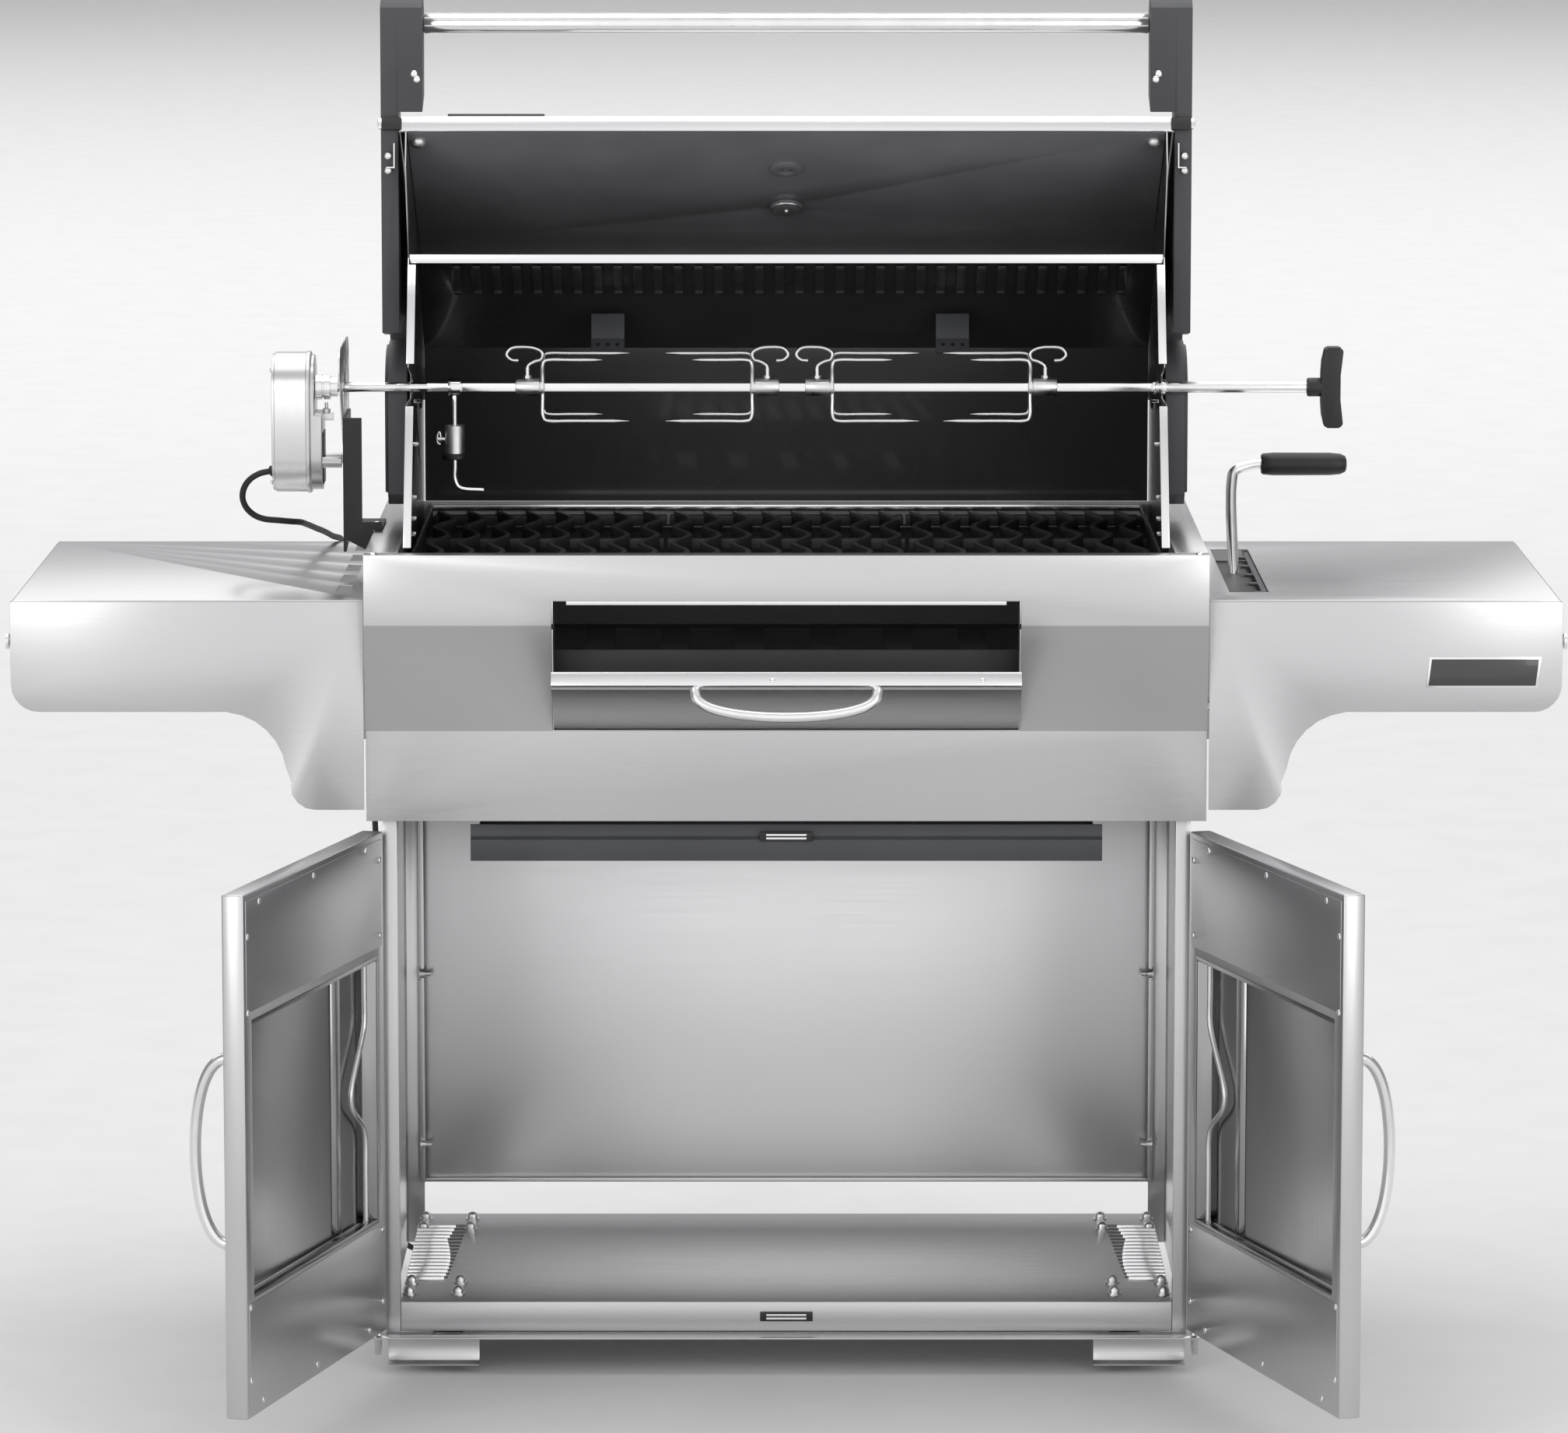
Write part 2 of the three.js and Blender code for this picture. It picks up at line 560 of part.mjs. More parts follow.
function forkSolid() {
  const collar = rodX(0, 28, 0, 0, 10, 12);
  const plate = block(28, 31, -10, 10, -36, 36);
  const prong = (y, z, length) => {
    const tine = turned([[0, 30], [2.2, 30], [2.2, 18 + length], [0, 30 + length]], 'x', 6);
    return solid(tine.translate(0, y, z));
  };
  const prongs = [prong(8, 34, 96), prong(-8, 34, 66), prong(8, -34, 66), prong(-8, -34, 96)];
  const screw = rodZ(8, 22, 13, 0, 2.5, 8);
  const loop = bar([
    V(13, 0, 20), V(14, 0, 24), V(23, 0, 28), V(29, 0, 35), V(24, 0, 43), V(8, 0, 45),
    V(-6, 0, 43), V(-10, 0, 36), V(-5, 0, 29),
  ], 2, { sides: 6, steps: 15 });
  const bore = block(-5, 40, -5, 5, -5, 5);
  return cut(join(collar, plate, ...prongs, screw, loop), bore);
}

// A hooked arm clamped to the spit, with a sliding weight that balances the meat.
function counterweight(group) {
  const x = COUNTERWEIGHT_X;
  const clamp = cut(rodX(x - 7, x + 7, 0, 0, 10), block(x - 20, x + 20, -5, 5, -5, 5));
  const hook = bar([
    V(x, 0, -8), V(x, 0, -60), V(x, 0, -90), V(x, 0, -103), V(x + 5, 0, -112), V(x + 32, 0, -115),
  ], 3.2, { sides: 8, steps: 12 });
  piece('counterweight_arm', join(clamp, hook), CHROME, group);
  const bore = 4.2;
  const profile = [[bore, -80], [14.5, -80], [14.5, -74], [11, -74], [11, -42], [bore, -42], [bore, -80]];
  const weight = solid(turned(profile, 'z', 16).translate(x, 0, 0));
  const screw = rodX(x - 19, x - 6, 0, -58, 2.5, 6);
  piece('counterweight', cut(join(weight, screw), rodZ(-90, -30, x, 0, bore, 8)), CHROME, group);
}

function spit() {
  const group = frameAt(grill, 0, SPIT.y, SPIT.z);
  const pilot = rodX(-508, -396, 0, 0, 5.5);
  const square = block(-397, 503, -4.5, 4.5, -4.5, 4.5);
  const shank = rodX(421, 592, 0, 0, 6.4);
  const bearing = rodX(406, 417, 0, 0, 9);
  piece('spit_rod', join(pilot, square, shank, bearing), CHROME, group);
  const hub = rodX(577, 594, 0, 0, 10.5, 14);
  const grip = prismX([
    [-11, -45], [11, -45], [13, -30], [10, 0], [13, 30], [11, 45],
    [-11, 45], [-13, 30], [-10, 0], [-13, -30],
  ], 592, 617);
  piece('spit_handle', cut(join(hub, grip), rodX(560, 600, 0, 0, 6.8)), BLACK_PLASTIC, group);
  for (const [name, x, facesRight] of FORKS) {
    const fork = facesRight ? forkSolid() : mirror(forkSolid());
    piece(name, fork, CHROME, frameAt(group, x, 0, 0));
  }
  const socket = join(rodX(-521.5, -505, 0, 0, 14), rodX(-506, -497, 0, 0, 11));
  piece('motor_coupling', cut(socket, rodX(-512, -480, 0, 0, 5.9)), CHROME, group);
  counterweight(group);
}

const MOTOR_END = -569;       // left end of the motor's case
const MOUNT_X = -490.5;       // face of the plate that the motor hangs on

// The motor: an upright round-ended case on the left, a plate behind its coupling, and a black angle
// bracket that stands on the body's deck.
function motor() {
  const { y, z } = SPIT;
  const mid = [y + 4, 1030];
  const round = 40;
  const rise = 38;
  const casing = (scale) => [
    ...arc(mid[0], mid[1] + rise, round * scale, 0, 180, 10),
    ...arc(mid[0], mid[1] - rise, round * scale, 180, 360, 10),
  ];
  const studs = [y - 18, y + 26].map((at) => rodX(-520, MOUNT_X - SHEET - GAP, at, 987, 6, 8));
  const lowCover = prismX(casing(0.93), -528, -514).intersect(block(-540, -510, -90, 20, 940, 1040));
  piece('motor_housing', join(
    prismX(casing(0.96), MOTOR_END, -562), prismX(casing(1), -566, -526), prismX(casing(1.03), -531, -527),
    prismX(casing(0.93), -528, -522.5), lowCover, ...studs,
  ), STEEL);
  const slantFront = [[-5, 955], [-117, 1090]];
  const plate = prismX([
    ...slantFront, ...arc(-97, 1098, 20, 180, 90, 3), ...arc(40, 1098, 20, 90, 0, 3), [60, 955],
  ], MOUNT_X - SHEET, MOUNT_X);
  const side = prismX([[-64, 1037], [40, 1037], [40, 900], [-64, 888]], MOUNT_X - GAP, MOUNT_X + 3);
  const web = prismY([
    [MOUNT_X, 1037], [-470, 1037], [-470, 921], [-448, 921], [-448, DECK_Z], [-BODY_X - GAP, DECK_Z],
    [-BODY_X - GAP, 888], [-462, 888], [MOUNT_X, 903],
  ], -64, -61);
  const foot = block(-475, -448, -64, 25, DECK_Z, DECK_Z + 3);
  const bracket = join(plate, side, web, foot, block(MOUNT_X, -474, -64, 25, DECK_Z, DECK_Z + 3));
  piece('motor_bracket', cut(bracket, rodX(-500, -480, y, z, 9)), BLACK_PLASTIC);
}

// ---------- mains lead of the motor ----------
const LEAD_R = 3.5;
const COIL = { x: -365, y: 262, r: 38.5, turns: 2 };

// From the strain relief's tip, over the left shelf's back edge and down behind it to the coil.
const LEAD_ROUTE = [
  V(-574, -40, 975.2), V(-584.4, -39.7, 972.8), V(-595.6, -37.2, 966), V(-602.8, -32.7, 955.8),
  V(-605, -27, 944), V(-601.6, -20.9, 932.6), V(-593.3, -15.7, 923.6), V(-582.6, -12.3, 918.8),
  V(-566, -8.2, 916.6), V(-553.5, -1, 914.6), V(-546, 11.5, 912.6), V(-542.6, 28, 910), V(-541, 50, 906.3),
  V(-539, 75, 902), V(-536, 108, 896), V(-533, 140, 890), V(-529, 175, 883.5), V(-525, 212, 876),
  V(-520.5, 243, 868.8), V(-517, 265, 864.9), V(-514.2, 281.5, 861.2), V(-511.6, 295, 849),
  V(-509.5, 300.5, 830.5), V(-505, 300.5, 790), V(-496, 300.5, 720), V(-484, 300.5, 620),
  V(-477, 300.5, 500), V(-474, 300.5, 350), V(-472, 300.5, 200), V(-471, 300.5, 100), V(-467, 300.5, 61),
  V(-455, 300.5, 35), V(-435, 300.5, 21.3), V(-410, 300.5, 17.6), V(-380, 300.5, 17.5),
];

function lead() {
  const exit = LEAD_ROUTE[0];
  const base = V(MOTOR_END, -40, 976);
  const boot = turned([[0, -5], [6, -5], [6, 4], [4.2, base.distanceTo(exit)], [0, base.distanceTo(exit)]], 'y', 12);
  const slant = new THREE.Quaternion().setFromUnitVectors(V(0, 1, 0), exit.clone().sub(base).normalize());
  boot.applyQuaternion(slant).translate(base.x, base.y, base.z);
  const caseFace = block(MOTOR_END - GAP, MOTOR_END + 20, -80, 0, 950, 1010);
  piece('strain_relief', cut(solid(boot), caseFace), RUBBER);

  const { x, y, r, turns } = COIL;
  const top = LEAD_R * 2 * (turns + 1);
  const hank = (grow) => {
    const [inner, outer, low, high] = [r - LEAD_R - grow, r + LEAD_R + grow, -grow, top + grow];
    return solid(turned([[inner, low], [outer, low], [outer, high], [inner, high], [inner, low]], 'z', 24)
      .translate(x, y, 0));
  };
  const clear = hank(GAP);
  const [first, second, ...rest] = LEAD_ROUTE;
  const start = first.clone().lerp(second, 0.08);
  const tube = bar([start, second, ...rest], LEAD_R, { sides: 8, steps: 76 });
  piece('power_cord', cut(tube, clear), RUBBER);
  piece('cord_coil', hank(0), RUBBER);

  const side = y + r;
  const plugBoot = bar([V(x + 14, side, 4.6), V(x + 34, side, 5.5), V(x + 54, side, 9.5)], 4.4, { steps: 6 });
  const body = prismZ([
    [x + 50, side - 8], [x + 58, side - 12.5], [x + 84, side - 12.5],
    [x + 84, side + 12.5], [x + 58, side + 12.5], [x + 50, side + 8],
  ], 0, 19);
  const blade = (dy) => block(x + 83, x + 100, side + dy - 0.75, side + dy + 0.75, 9, 15.4);
  const earth = rodX(x + 83, x + 102, side, 5.2, 2.4, 8);
  piece('power_plug', join(cut(plugBoot, clear), body, blade(-6.35), blade(6.35), earth), BLACK_PLASTIC);
}

cabinet();
casters();
piece('fascia', fascia(), STEEL);
piece('body_shell', bodyShell(), STEEL);
piece('firebox', firebox(), ENAMEL);
grates();
piece('charcoal_tray', charcoalTray(), IRON);
lever();
charcoalDoor();
piece('ash_pan', ashPan(), DARK_PAINT);
hood();
lid();
shelves();
doors();
spit();
motor();

// The footprint's middle becomes the origin, the loose lead aside.
const footprint = new THREE.Box3().setFromObject(grill, true);
grill.position.y = -(footprint.min.y + footprint.max.y) / 2;

lead();

export default grill;
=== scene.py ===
# Looks of a stainless charcoal cart grill with a rotisserie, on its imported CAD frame.
import json
from math import cos, pi, radians, sin

import bmesh
import bpy
from mathutils import Matrix, Vector


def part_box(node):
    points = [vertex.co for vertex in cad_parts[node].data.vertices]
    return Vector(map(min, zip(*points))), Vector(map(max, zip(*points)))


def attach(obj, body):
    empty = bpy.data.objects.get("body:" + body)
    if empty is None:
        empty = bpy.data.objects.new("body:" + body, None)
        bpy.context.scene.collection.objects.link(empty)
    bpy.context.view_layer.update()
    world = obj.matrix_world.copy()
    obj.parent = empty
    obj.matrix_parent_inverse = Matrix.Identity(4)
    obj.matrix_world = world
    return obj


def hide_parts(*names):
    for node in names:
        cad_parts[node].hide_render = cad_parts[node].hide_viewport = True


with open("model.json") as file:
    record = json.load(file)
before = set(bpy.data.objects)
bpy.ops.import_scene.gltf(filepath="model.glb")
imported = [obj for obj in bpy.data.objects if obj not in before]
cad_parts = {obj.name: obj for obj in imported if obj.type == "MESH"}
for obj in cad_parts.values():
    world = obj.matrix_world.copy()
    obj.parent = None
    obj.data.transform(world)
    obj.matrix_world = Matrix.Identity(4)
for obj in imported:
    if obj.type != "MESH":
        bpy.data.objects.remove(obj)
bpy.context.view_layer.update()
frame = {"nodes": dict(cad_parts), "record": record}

# ---------- places ----------
# Shapes below are in millimetres in the part's drawing frame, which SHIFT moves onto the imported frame.
MM = 0.001
DRAWN_FASCIA_FRONT = -290
SHIFT = Vector((0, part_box("fascia")[0][1] - DRAWN_FASCIA_FRONT * MM, 0))
DOOR_HINGE = (449, -252)  # x and y
LID_PIVOT = (31, 1053)  # y and z, as the three below
COALS_DOOR_HINGE = (-264, 719)
LEVER_PIVOT = (0, 710)
SPIT_AXIS = (-40, 1069)
LID_OPEN, COALS_DOOR_OPEN, LEVER_LEAN = 96, 62, 30
LEFT_DOOR_OPEN, RIGHT_DOOR_OPEN = 106, 108
FORK_AT = {1: (-300, 1), 2: (-8, -1), 3: (21, 1), 4: (300, -1)}


def turned_frame(y, z, degrees):
    """Drawing frame of a piece drawn closed about an X axis through (y, z) and stored turned."""
    return Matrix.Translation((0, y, z)) @ Matrix.Rotation(radians(degrees), 4, "X")


def door_frame(side, degrees):
    """Drawing frame of a cabinet door; the right one is mirrored."""
    x, y = DOOR_HINGE
    hinge = Matrix.Translation((side * x, y, 0)) @ Matrix.Rotation(radians(degrees), 4, "Z")
    return hinge @ Matrix.Scale(-side, 4, (1, 0, 0))


def spit_frame(x=0, way=1):
    """Drawing frame on the spit's axis, mirrored along it where way is -1."""
    return Matrix.Translation((x, *SPIT_AXIS)) @ Matrix.Scale(way, 4, (1, 0, 0))


PLACES = {
    "cart": Matrix(),
    "pan": Matrix(),
    "coals_bed": Matrix(),
    "lid": turned_frame(*LID_PIVOT, -LID_OPEN),
    "coals_door": turned_frame(*COALS_DOOR_HINGE, COALS_DOOR_OPEN),
    "bed_lever": turned_frame(*LEVER_PIVOT, -LEVER_LEAN),
    "left_door": door_frame(-1, -LEFT_DOOR_OPEN),
    "right_door": door_frame(1, RIGHT_DOOR_OPEN),
    "spit": spit_frame(),
    "balance_weight": spit_frame(),
}
for number, (x, way) in FORK_AT.items():
    PLACES[f"fork_body_{number}"] = spit_frame(x, way)
BODY_OF = {node: body for body, nodes in frame["record"]["behaviour"]["bodies"].items() for node in nodes}


# ---------- camera and light ----------
EYE = (0, -8.509, 1.916)
PITCH = 8.17
LENS, SENSOR, LENS_SHIFT, CLIP = 176.1, 36, -0.0015, 60
SOFTBOXES = {
    "overhead": ((0, 0.4, 4.4), (0, 0.6, 0), (5.0, 3.6), 105),
    "backdrop": ((0, 15, 9), (0, 16, 0), (26, 22), 2300),
    "front_left": ((-3.4, -4.4, 2.2), (0, 0, 0.9), (1.8, 2.6), 34),
    "front_right": ((3.4, -4.4, 2.2), (0, 0, 0.9), (1.8, 2.6), 34),
}
WORLD_BRIGHT, WORLD_DIM = (1.06, 1.06, 1.07, 1), (0.30, 0.30, 0.31, 1)


def camera():
    lens = bpy.data.cameras.new("view")
    lens.sensor_width = SENSOR
    lens.lens = LENS
    lens.shift_x = LENS_SHIFT
    lens.clip_end = CLIP
    eye = bpy.data.objects.new("view", lens)
    eye.location = Vector(EYE) + SHIFT
    eye.rotation_euler = (radians(90 - PITCH), 0, 0)
    bpy.context.scene.collection.objects.link(eye)
    bpy.context.scene.camera = eye


def softbox(name, place, aim, size, power):
    lamp = bpy.data.lights.new(name, "AREA")
    lamp.shape = "RECTANGLE"
    lamp.size, lamp.size_y = size
    lamp.energy = power
    box = bpy.data.objects.new(name, lamp)
    box.location = place
    box.rotation_euler = (Vector(aim) - Vector(place)).to_track_quat("-Z", "Y").to_euler()
    bpy.context.scene.collection.objects.link(box)


def studio():
    """A world that is bright in front of the cart and dim elsewhere, and the soft boxes."""
    bpy.context.scene.view_settings.view_transform = "Standard"
    world = bpy.data.worlds.new("studio")
    bpy.context.scene.world = world
    world.use_nodes = True
    tree = world.node_tree
    direction = tree.nodes.new("ShaderNodeTexCoord")
    parts = tree.nodes.new("ShaderNodeSeparateXYZ")
    facing = tree.nodes.new("ShaderNodeMapRange")
    facing.inputs["From Min"].default_value = -1
    facing.inputs["From Max"].default_value = 1
    ramp = tree.nodes.new("ShaderNodeValToRGB")
    stops = ramp.color_ramp.elements
    stops[0].position, stops[0].color = 0.06, WORLD_BRIGHT
    stops[1].position, stops[1].color = 0.40, WORLD_DIM
    tree.links.new(direction.outputs["Generated"], parts.inputs[0])
    tree.links.new(parts.outputs["Y"], facing.inputs["Value"])
    tree.links.new(facing.outputs["Result"], ramp.inputs["Fac"])
    tree.links.new(ramp.outputs["Color"], tree.nodes["Background"].inputs["Color"])
    for name, (place, aim, size, power) in SOFTBOXES.items():
        softbox(name, place, aim, size, power)


def floor():
    """Reaches from a little in front of the cart to far behind it."""
    mesh = bpy.data.meshes.new("floor")
    side, front, back = 30, -2.6, 45
    corners = [(-side, front, 0), (side, front, 0), (side, back, 0), (-side, back, 0)]
    mesh.from_pydata(corners, [], [(0, 1, 2, 3)])
    ground = bpy.data.objects.new("floor", mesh)
    bpy.context.scene.collection.objects.link(ground)
    mesh.materials.append(painted("pale_floor", (0.74, 0.74, 0.74), 0.7, 300, 0.01, spread=0.97))


# ---------- materials ----------
def new_material(name, base, metallic, roughness):
    material = bpy.data.materials.new(name)
    material.use_nodes = True
    shader = material.node_tree.nodes["Principled BSDF"]
    shader.inputs["Base Color"].default_value = (*base, 1)
    shader.inputs["Metallic"].default_value = metallic
    shader.inputs["Roughness"].default_value = roughness
    return material, material.node_tree, shader


def noise(tree, scale, detail=4):
    """A noise texture on the object's own coordinates, stretched by a scale for each axis."""
    where = tree.nodes.new("ShaderNodeTexCoord")
    stretch = tree.nodes.new("ShaderNodeMapping")
    stretch.inputs["Scale"].default_value = scale
    texture = tree.nodes.new("ShaderNodeTexNoise")
    texture.inputs["Scale"].default_value = 1
    texture.inputs["Detail"].default_value = detail
    tree.links.new(where.outputs["Object"], stretch.inputs["Vector"])
    tree.links.new(stretch.outputs["Vector"], texture.inputs["Vector"])
    return texture.outputs["Fac"]


def vary(tree, value, low, high, socket):
    spread = tree.nodes.new("ShaderNodeMapRange")
    spread.inputs["From Min"].default_value = 0.3
    spread.inputs["From Max"].default_value = 0.7
    spread.inputs["To Min"].default_value = low
    spread.inputs["To Max"].default_value = high
    tree.links.new(value, spread.inputs["Value"])
    tree.links.new(spread.outputs["Result"], socket)


def tint(tree, value, dark, light, socket):
    ramp = tree.nodes.new("ShaderNodeValToRGB")
    stops = ramp.color_ramp.elements
    stops[0].position, stops[0].color = 0.35, (*dark, 1)
    stops[1].position, stops[1].color = 0.65, (*light, 1)
    tree.links.new(value, ramp.inputs["Fac"])
    tree.links.new(ramp.outputs["Color"], socket)


def relief(tree, value, strength, depth, shader):
    bump = tree.nodes.new("ShaderNodeBump")
    bump.inputs["Strength"].default_value = strength
    bump.inputs["Distance"].default_value = depth
    tree.links.new(value, bump.inputs["Height"])
    tree.links.new(bump.outputs["Normal"], shader.inputs["Normal"])


def brushed(name, grain, light=0.62, roughness=0.3):
    """Stainless sheet with fine lines along one axis, faint smudges and uneven gloss."""
    material, tree, shader = new_material(name, (light,) * 3, 1, roughness)
    fine = [900 if axis != grain else 5 for axis in "XYZ"]
    lines = noise(tree, fine, 3)
    vary(tree, lines, roughness - 0.03, roughness + 0.04, shader.inputs["Roughness"])
    relief(tree, lines, 0.06, 0.0002, shader)
    low = light * 0.95
    smudges = noise(tree, (2.2, 2.2, 2.2), 2)
    tint(tree, smudges, (low, low, low * 1.01), (light,) * 3, shader.inputs["Base Color"])
    return material


def painted(name, base, roughness, scale, bump, metallic=0.0, coat=0.0, spread=0.82):
    """Paint, enamel, plastic, rubber or casting skin, a little uneven in relief, colour and gloss."""
    material, tree, shader = new_material(name, base, metallic, roughness)
    shader.inputs["Coat Weight"].default_value = coat
    shader.inputs["Coat Roughness"].default_value = 0.08
    grit = noise(tree, (scale,) * 3, 5)
    relief(tree, grit, bump, 0.0004, shader)
    vary(tree, noise(tree, (6, 6, 6), 3), roughness - 0.04, roughness + 0.06, shader.inputs["Roughness"])
    tint(tree, noise(tree, (9, 9, 9), 4), tuple(c * spread for c in base), base, shader.inputs["Base Color"])
    return material


def plated(name, light, roughness):
    """Bright plate with faint wiping marks."""
    material, tree, shader = new_material(name, (light,) * 3, 1, roughness)
    marks = noise(tree, (60, 60, 60), 3)
    vary(tree, marks, roughness * 0.7, roughness * 1.5, shader.inputs["Roughness"])
    tint(tree, noise(tree, (12, 12, 12), 2), (light * 0.94,) * 3, (light,) * 3, shader.inputs["Base Color"])
    return material


studio()
camera()
LOOKS = {
    "steel_x": brushed("brushed_steel_across", "X"),
    "steel_y": brushed("brushed_steel_deep", "Y"),
    "steel_z": brushed("brushed_steel_upright", "Z"),
    # Darker copy of the stainless: painted shade on the fascia's downward-facing band. It also darkens the
    # shelf seams.
    "steel_dark": brushed("brushed_steel_shaded", "X", 0.4, 0.34),
    # Lighter copy of the stainless for the cabinet's back panel: painted light.
    "steel_back_painted_light": brushed("brushed_steel_back_painted_light", "X", 0.86, 0.34),
    # Lighter, glossier copy of the stainless for strips, lips and edges: the lower roughness is gloss, the
    # lighter colour a painted highlight.
    "steel_painted_highlight": brushed("polished_steel_painted_highlight", "X", 0.86, 0.2),
    # Darker, glossier copy of the stainless for the doors' recesses: the lower roughness is gloss, the
    # darker colour painted shade.
    "liner": brushed("door_liner_painted_shade", "Z", 0.36, 0.2),
    "chrome": plated("chrome_plate", 0.88, 0.17),
    "satin_chrome": plated("satin_chrome_plate", 0.8, 0.32),
    "enamel": painted("black_enamel", (0.042, 0.042, 0.044), 0.26, 160, 0.04, coat=0.5),
    "lid_inside": painted("dark_lid_liner", (0.17, 0.172, 0.18), 0.36, 200, 0.03, coat=0.25),
    "cast": painted("cast_grey_paint", (0.055, 0.056, 0.06), 0.46, 700, 0.25),
    "iron": painted("cast_iron_skin", (0.035, 0.035, 0.037), 0.48, 900, 0.4, metallic=0.2),
    "paint": painted("satin_dark_paint", (0.06, 0.062, 0.068), 0.38, 400, 0.08),
    "black": painted("black_moulding", (0.012, 0.012, 0.013), 0.42, 1200, 0.15),
    "rubber": painted("cord_sheath", (0.014, 0.014, 0.015), 0.55, 900, 0.1),
}
floor()

# ---------- mains lead ----------
LEAD_R = 3.5
COIL = {"x": -365, "y": 262, "r": 38.5, "turns": 2}
LEAD_ROUTE = [
    (-574, -40, 975.2), (-584.4, -39.7, 972.8), (-595.6, -37.2, 966), (-602.8, -32.7, 955.8),
    (-605, -27, 944), (-601.6, -20.9, 932.6), (-593.3, -15.7, 923.6), (-582.6, -12.3, 918.8),
    (-566, -8.2, 916.6), (-553.5, -1, 914.6), (-546, 11.5, 912.6), (-542.6, 28, 910), (-541, 50, 906.3),
    (-539, 75, 902), (-536, 108, 896), (-533, 140, 890), (-529, 175, 883.5), (-525, 212, 876),
    (-520.5, 243, 868.8), (-517, 265, 864.9), (-514.2, 281.5, 861.2), (-511.6, 295, 849),
    (-509.5, 300.5, 830.5), (-505, 300.5, 790), (-496, 300.5, 720), (-484, 300.5, 620),
    (-477, 300.5, 500), (-474, 300.5, 350), (-472, 300.5, 200), (-471, 300.5, 100), (-467, 300.5, 61),
    (-455, 300.5, 35), (-435, 300.5, 21.3), (-410, 300.5, 17.6), (-380, 300.5, 17.5),
]


def smooth_route(points, between):
    """Points on a centripetal Catmull-Rom curve through the given ones."""
    p = [Vector(q) for q in points]
    p = [2 * p[0] - p[1], *p, 2 * p[-1] - p[-2]]
    route = []
    for a, b, c, d in zip(p, p[1:], p[2:], p[3:]):
        ta, tb = 0, (b - a).length ** 0.5
        tc = tb + (c - b).length ** 0.5
        td = tc + (d - c).length ** 0.5
        for step in range(between):
            t = tb + (tc - tb) * step / between
            ab = a.lerp(b, (t - ta) / (tb - ta))
            bc = b.lerp(c, (t - tb) / (tc - tb))
            cd = c.lerp(d, (t - tc) / (td - tc))
            abc = ab.lerp(bc, (t - ta) / (tc - ta))
            bcd = bc.lerp(cd, (t - tb) / (td - tb))
            route.append(abc.lerp(bcd, (t - tb) / (tc - tb)))
    return [*route, p[-2]]


def lead():
    """The cord from the strain relief over the shelf's edge, through its coil and into the plug."""
    x, y, r, turns = (COIL[key] for key in ("x", "y", "r", "turns"))
    per_turn = 24
    top = LEAD_R * (1 + 2 * turns)
    wound = []
    for step in range(per_turn * turns + 1):
        angle = pi / 2 - 2 * pi * step / per_turn
        height = top - 2 * LEAD_R * step / per_turn
        wound.append((x + r * cos(angle), y + r * sin(angle), height))
    tail = [(x + 20, y + r, LEAD_R + 0.6), (x + 36, y + r, LEAD_R + 2.4)]
    route = [q * MM + SHIFT for q in smooth_route(LEAD_ROUTE + wound + tail, 4)]
    curve = bpy.data.curves.new("lead", "CURVE")
    curve.dimensions = "3D"
    curve.bevel_depth = LEAD_R * MM
    curve.bevel_resolution = 3
    curve.use_fill_caps = True
    spline = curve.splines.new("POLY")
    spline.points.add(len(route) - 1)
    for point, q in zip(spline.points, route):
        point.co = (*q, 1)
    curve.materials.append(LOOKS["rubber"])
    cord = bpy.data.objects.new("mains_lead", curve)
    bpy.context.scene.collection.objects.link(cord)
    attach(cord, "cart")
    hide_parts("power_cord", "cord_coil")
    blades_from = x + 84.5
    looks = ["black", "satin_chrome"]
    plug = dress("power_plug", looks, 0.6, lambda at, normal: 1 if at.x > blades_from else 0)


# ---------- shapes ----------
AXES = {"x": (1, 0, 0), "y": (0, 1, 0), "z": (0, 0, 1)}
ROUND = 38  # edges that turn by more degrees than this stay sharp


